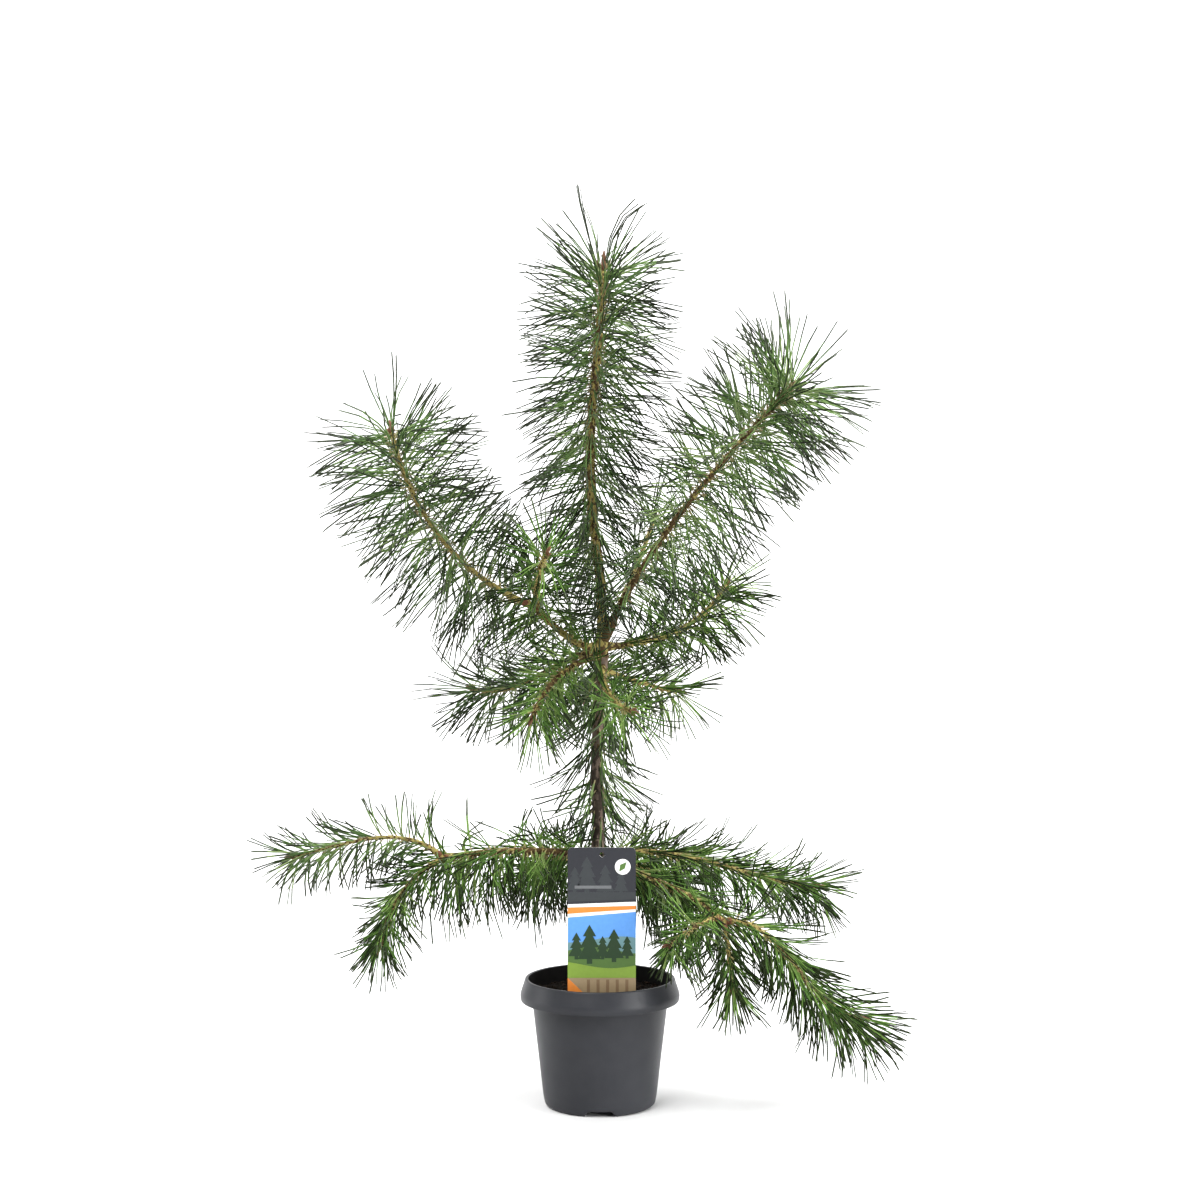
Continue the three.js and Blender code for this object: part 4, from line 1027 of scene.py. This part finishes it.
def make_soil():
    random = dealt("soil")
    unit_ring = circle(ring_angles(220))
    rings = []
    for r in np.append(np.linspace(1.2, SOIL_RADIUS - 1.2, 74), SOIL_RADIUS - 0.3):
        flat = r * unit_ring
        coarse = lumps(flat / 9.0, 31) * 1.1 + lumps(flat / 4.0, 32) * 0.9
        fine = np.abs(lumps(flat / 1.9, 33)) * 1.3
        rim = smooth(SOIL_RADIUS - 14, SOIL_RADIUS, r) * 1.6
        flat[:, 2] = SOIL_TOP - 1.6 + coarse + fine - rim + 1.2 * (1 - smooth(12, 24, r))
        rings.append(flat)
    for r, z in ((78.0, 118), (64.0, 13.6), (60.0, SOIL_UNDERSIDE)):
        rings.append(r * unit_ring + [0, 0, z])
    shape = Shape()
    shape.grid(np.array(rings)[::-1], 0, caps=([0, 0, SOIL_UNDERSIDE], [0, 0, SOIL_TOP - 0.4]))
    lump = bmesh.new()
    bmesh.ops.create_icosphere(lump, subdivisions=2, radius=1)
    ball = np.array([v.co[:] for v in lump.verts])
    faces = [tuple(v.index for v in f.verts) for f in lump.faces]
    lump.free()
    for i in range(CRUMBS):
        r = math.sqrt(random.random()) * 76
        a = random.random() * 2 * math.pi
        if r < 15:
            continue
        centre = np.array([r * math.cos(a), r * math.sin(a), 0])
        if abs(centre[0] - LABEL_X) < LABEL_WIDTH / 2 + 3 and abs(centre[1] - LABEL_Y) < 3.4:
            continue
        size = 0.8 + 1.9 * random.random() ** 2
        stretch = 0.6 + 0.8 * random.random(3)
        dents = 1 + 0.28 * lumps(ball * 1.6 + i * 3.7, 44)
        body = ball * dents[:, None] * size * stretch
        centre[2] = SOIL_TOP - 0.9 + size * 0.1
        shape.add(body + centre, faces, 1 if random.random() < 0.72 else 2)
    fill = [
        material("soil_dark", (0.004, 0.003, 0.002), 0.95, noise=(520, (0.009, 0.006, 0.004)),
                 bump=(900, 1.0, 1.0), specular=0.06),
        material("soil_crumb", (0.008, 0.006, 0.004), 0.95, noise=(700, (0.018, 0.012, 0.008)),
                 bump=(1200, 0.9, 0.7), specular=0.06),
        material("soil_bark_bit", (0.034, 0.020, 0.012), 0.85, noise=(500, (0.018, 0.011, 0.007)),
                 bump=(1000, 0.8, 0.5), specular=0.1),
    ]
    shape.piece("soil_bed", fill, "potting_soil", ["soil"])


# Label: thin card with colour fields of its own plain design.


def arc_points(cx, cz, radius, first, last, count):
    return [(cx + radius * math.cos(math.radians(a)), cz + radius * math.sin(math.radians(a)))
            for a in np.linspace(first, last, count)]


def plate(shape, outline, front, back, paint):
    """A flat plate from front to back in Y, its outline in X and Z, walked anticlockwise seen from -Y."""
    near = np.array([(x, front, z) for x, z in outline])
    far = np.array([(x, back, z) for x, z in outline])
    n = len(outline)
    faces = [tuple(range(n)), tuple(range(2 * n - 1, n - 1, -1))]
    faces += [(k, n + k, n + (k + 1) % n, (k + 1) % n) for k in range(n)]
    shape.add(np.concatenate([near, far]), faces, paint)


def card_outline(low):
    """The rounded top of the card, with its hole let in by a slit, closed through the corners in low."""
    half, corner = LABEL_WIDTH / 2, 5
    hole = (0.5, LABEL_TOP - 8)
    outline = arc_points(half - corner, LABEL_TOP - corner, corner, 0, 90, 7)
    outline += [(hole[0], LABEL_TOP)] + arc_points(*hole, 3, 90, -270, 29) + [(hole[0], LABEL_TOP)]
    outline += arc_points(-half + corner, LABEL_TOP - corner, corner, 90, 180, 7)
    return outline + low


def hill(base, rise, waves, shift):
    half = LABEL_WIDTH / 2
    top = [(x, base + rise * math.sin(waves * x / half + shift)) for x in np.linspace(half, -half, 25)]
    return [(-half, PICTURE_FOOT), (half, PICTURE_FOOT)] + top


def fir(x, z, size):
    """A plain conifer sign of three tiers."""
    right = [(0.07, 0), (0.07, 0.12), (0.3, 0.12), (0.14, 0.42)]
    right += [(0.24, 0.42), (0.09, 0.7), (0.17, 0.7), (0, 1)]
    left = [(-a, b) for a, b in reversed(right[:-1])]
    return [(x + a * size, z + b * size) for a, b in right + left]


def ring_of(x, z, radius, sides=36):
    return arc_points(x, z, radius, 0, 360 - 360 / sides, sides)


def make_label():
    half = LABEL_WIDTH / 2
    shape = Shape()
    foot = [(-half + 8, 119), (-12, 99), (12, 99), (half - 8, 119), (half, LABEL_SHOULDER)]

    def lay(outline, paint, layer):
        placed = [(x + LABEL_X, z) for x, z in outline]
        front = LABEL_Y - 0.5 - INK * layer
        plate(shape, placed, front, front + INK * 1.4, paint)

    def box(left, right, low, high):
        return [(left, low), (right, low), (right, high), (left, high)]

    def band(low_left, low_right, high_right, high_left, paint, layer):
        lay([(-half, low_left), (half, low_right), (half, high_right), (-half, high_left)], paint, layer)

    card = card_outline([(-half, LABEL_SHOULDER)] + foot)
    plate(shape, [(x + LABEL_X, z) for x, z in card], LABEL_Y - 0.5, LABEL_Y + 0.5, WHITE)
    lay(card_outline([(-half, 244), (half, 247)]), CHARCOAL, 1)
    for x, size in ((-31, 30), (-17, 41), (4, 35), (22, 27)):
        lay(fir(x, 256 + 2 * math.sin(x), size), SHADE, 2)
    band(247, 250, 258, 258, SHADE, 3)
    lay(ring_of(24, 287, 9), PALE, 3)
    lay([(20, 281.5), (26.5, 285), (28.5, 292.5), (21, 289.5)], LEAF, 4)
    lay(box(-31, 11, 262, 265.5), SLATE, 3)
    band(233, 238.5, 242.5, 240.5, ORANGE, 1)
    band(PICTURE_FOOT, PICTURE_FOOT, 235.5, 229, SKY, 1)
    lay(hill(204, 3.5, 2.2, 0.4), HAZE, 2)
    lay(hill(193, 5, 2.6, 2.2), LEAF, 3)
    firs = ((-29, 181, 31), (-14, 176, 45), (1, 181, 27), (14, 178, 38), (29, 182, 26))
    for i, (x, z, size) in enumerate(firs):
        lay(fir(x, z, size), FIR, 4 + i % 2)
    lay(hill(175, 4, 1.9, 4.2), MEADOW, 6)
    lay([(-half, LABEL_SHOULDER), foot[0], *foot[3:], (half, PICTURE_FOOT), (-half, PICTURE_FOOT)], TAN, 1)
    for x in range(-17, 28, 11):
        lay(box(x, x + 3.5, 122, PICTURE_FOOT - 2), EARTH, 2)
    lay([(-half, 137), (-half + 24, 137), (-half, PICTURE_FOOT)], ORANGE, 3)
    back = LABEL_Y + 0.5
    cover = [(LABEL_X - x, z) for x, z in card_outline([(-half, 262), (half, 262)])]
    stripe = box(LABEL_X - half, LABEL_X + half, 252, 256)
    for outline, paint in ((cover[::-1], CHARCOAL), (stripe, ORANGE)):
        plate(shape, outline, back - INK * 0.4, back + INK, paint)
    shape.piece("label_card", card_inks(), "label_card", ["label"], smooth_faces=False)


INK = 0.06
PICTURE_FOOT = 160
WHITE, CHARCOAL, SHADE, PALE, LEAF, SLATE, ORANGE, SKY, HAZE, FIR, MEADOW, TAN, EARTH = range(13)


def card_inks():
    inks = {
        "card_white": (0.80, 0.80, 0.78), "ink_charcoal": (0.020, 0.021, 0.026),
        "ink_shade": (0.030, 0.034, 0.037), "ink_pale": (0.72, 0.73, 0.70),
        "ink_leaf": (0.065, 0.130, 0.028), "ink_slate": (0.11, 0.115, 0.12),
        "ink_orange": (0.62, 0.20, 0.035), "ink_sky": (0.095, 0.270, 0.640),
        "ink_haze": (0.120, 0.230, 0.250), "ink_fir": (0.013, 0.036, 0.012),
        "ink_meadow": (0.170, 0.270, 0.035), "ink_tan": (0.270, 0.200, 0.115),
        "ink_earth": (0.170, 0.110, 0.060),
    }
    return [material(name, tone, 0.42, noise=(240, tuple(c * 0.86 for c in tone)), share=0.7,
                     bump=(1500, 0.12, 0.05), specular=0.3) for name, tone in inks.items()]


make_pot()
make_soil()
make_label()


# Floor, light and camera, in metres.


def make_stage():
    """A pale floor that bends up behind the plant."""
    bend = 1.2
    rows = [(1.6 + bend * math.sin(a), bend - bend * math.cos(a)) for a in np.linspace(0, math.pi / 2, 14)]
    rows = [(-6, 0), *rows, (2.8, 6)]
    corners = [(x, y, z) for y, z in rows for x in (-7, 7)]
    faces = [(2 * i, 2 * i + 1, 2 * i + 3, 2 * i + 2) for i in range(len(rows) - 1)]
    mesh = bpy.data.meshes.new("studio_floor")
    mesh.from_pydata(corners, [], faces)
    shade_faces(mesh)
    mesh.materials.append(material("studio_white", (0.54, 0.54, 0.54), 0.9, specular=0.05))
    floor = linked("studio_floor", mesh)


def area_light(name, place, target, size, power):
    data = bpy.data.lights.new(name, "AREA")
    data.shape = "RECTANGLE"
    data.size, data.size_y = size
    data.energy = power
    lamp = linked(name, data)
    lamp.location = place
    lamp.rotation_euler = (Vector(target) - Vector(place)).to_track_quat("-Z", "Y").to_euler()


make_stage()
area_light("key", (-1.1, -1.8, 2.8), (0, 0, 0.3), (1.5, 1.5), 135)
area_light("side_left", (-2.2, 0.2, 0.8), (0, 0, 0.3), (0.6, 1.6), 22)
area_light("side_right", (2.0, -1.1, 0.8), (0, 0, 0.25), (1.5, 1.5), 125)
area_light("top", (0.1, 0.2, 3.0), (0, 0, 0.3), (2.6, 2.6), 42)
area_light("backdrop", (0, 0.9, 3.4), (0, 2.8, 0.7), (5, 1), 340)

world = bpy.data.worlds.new("studio")
world.use_nodes = True
set_inputs(world.node_tree.nodes["Background"], {"Color": (1, 1, 1, 1), "Strength": 0.15})
scene = bpy.context.scene
scene.world = world
scene.view_settings.view_transform = "Standard"

# The camera looks level; its focal length is worked out in pixels of the photo.
CAMERA_PLACE = (0, -2.2, 0.59)
SENSOR = 36
FOCAL_PIXELS = 1868
PHOTO_PIXELS = 1204
camera_data = bpy.data.cameras.new("camera")
camera_data.sensor_width = SENSOR
camera_data.lens = SENSOR * FOCAL_PIXELS / PHOTO_PIXELS
camera_data.clip_end = 50
camera = linked("camera", camera_data)
camera.location = CAMERA_PLACE
camera.rotation_euler = (math.pi / 2, 0, 0)
scene.camera = camera
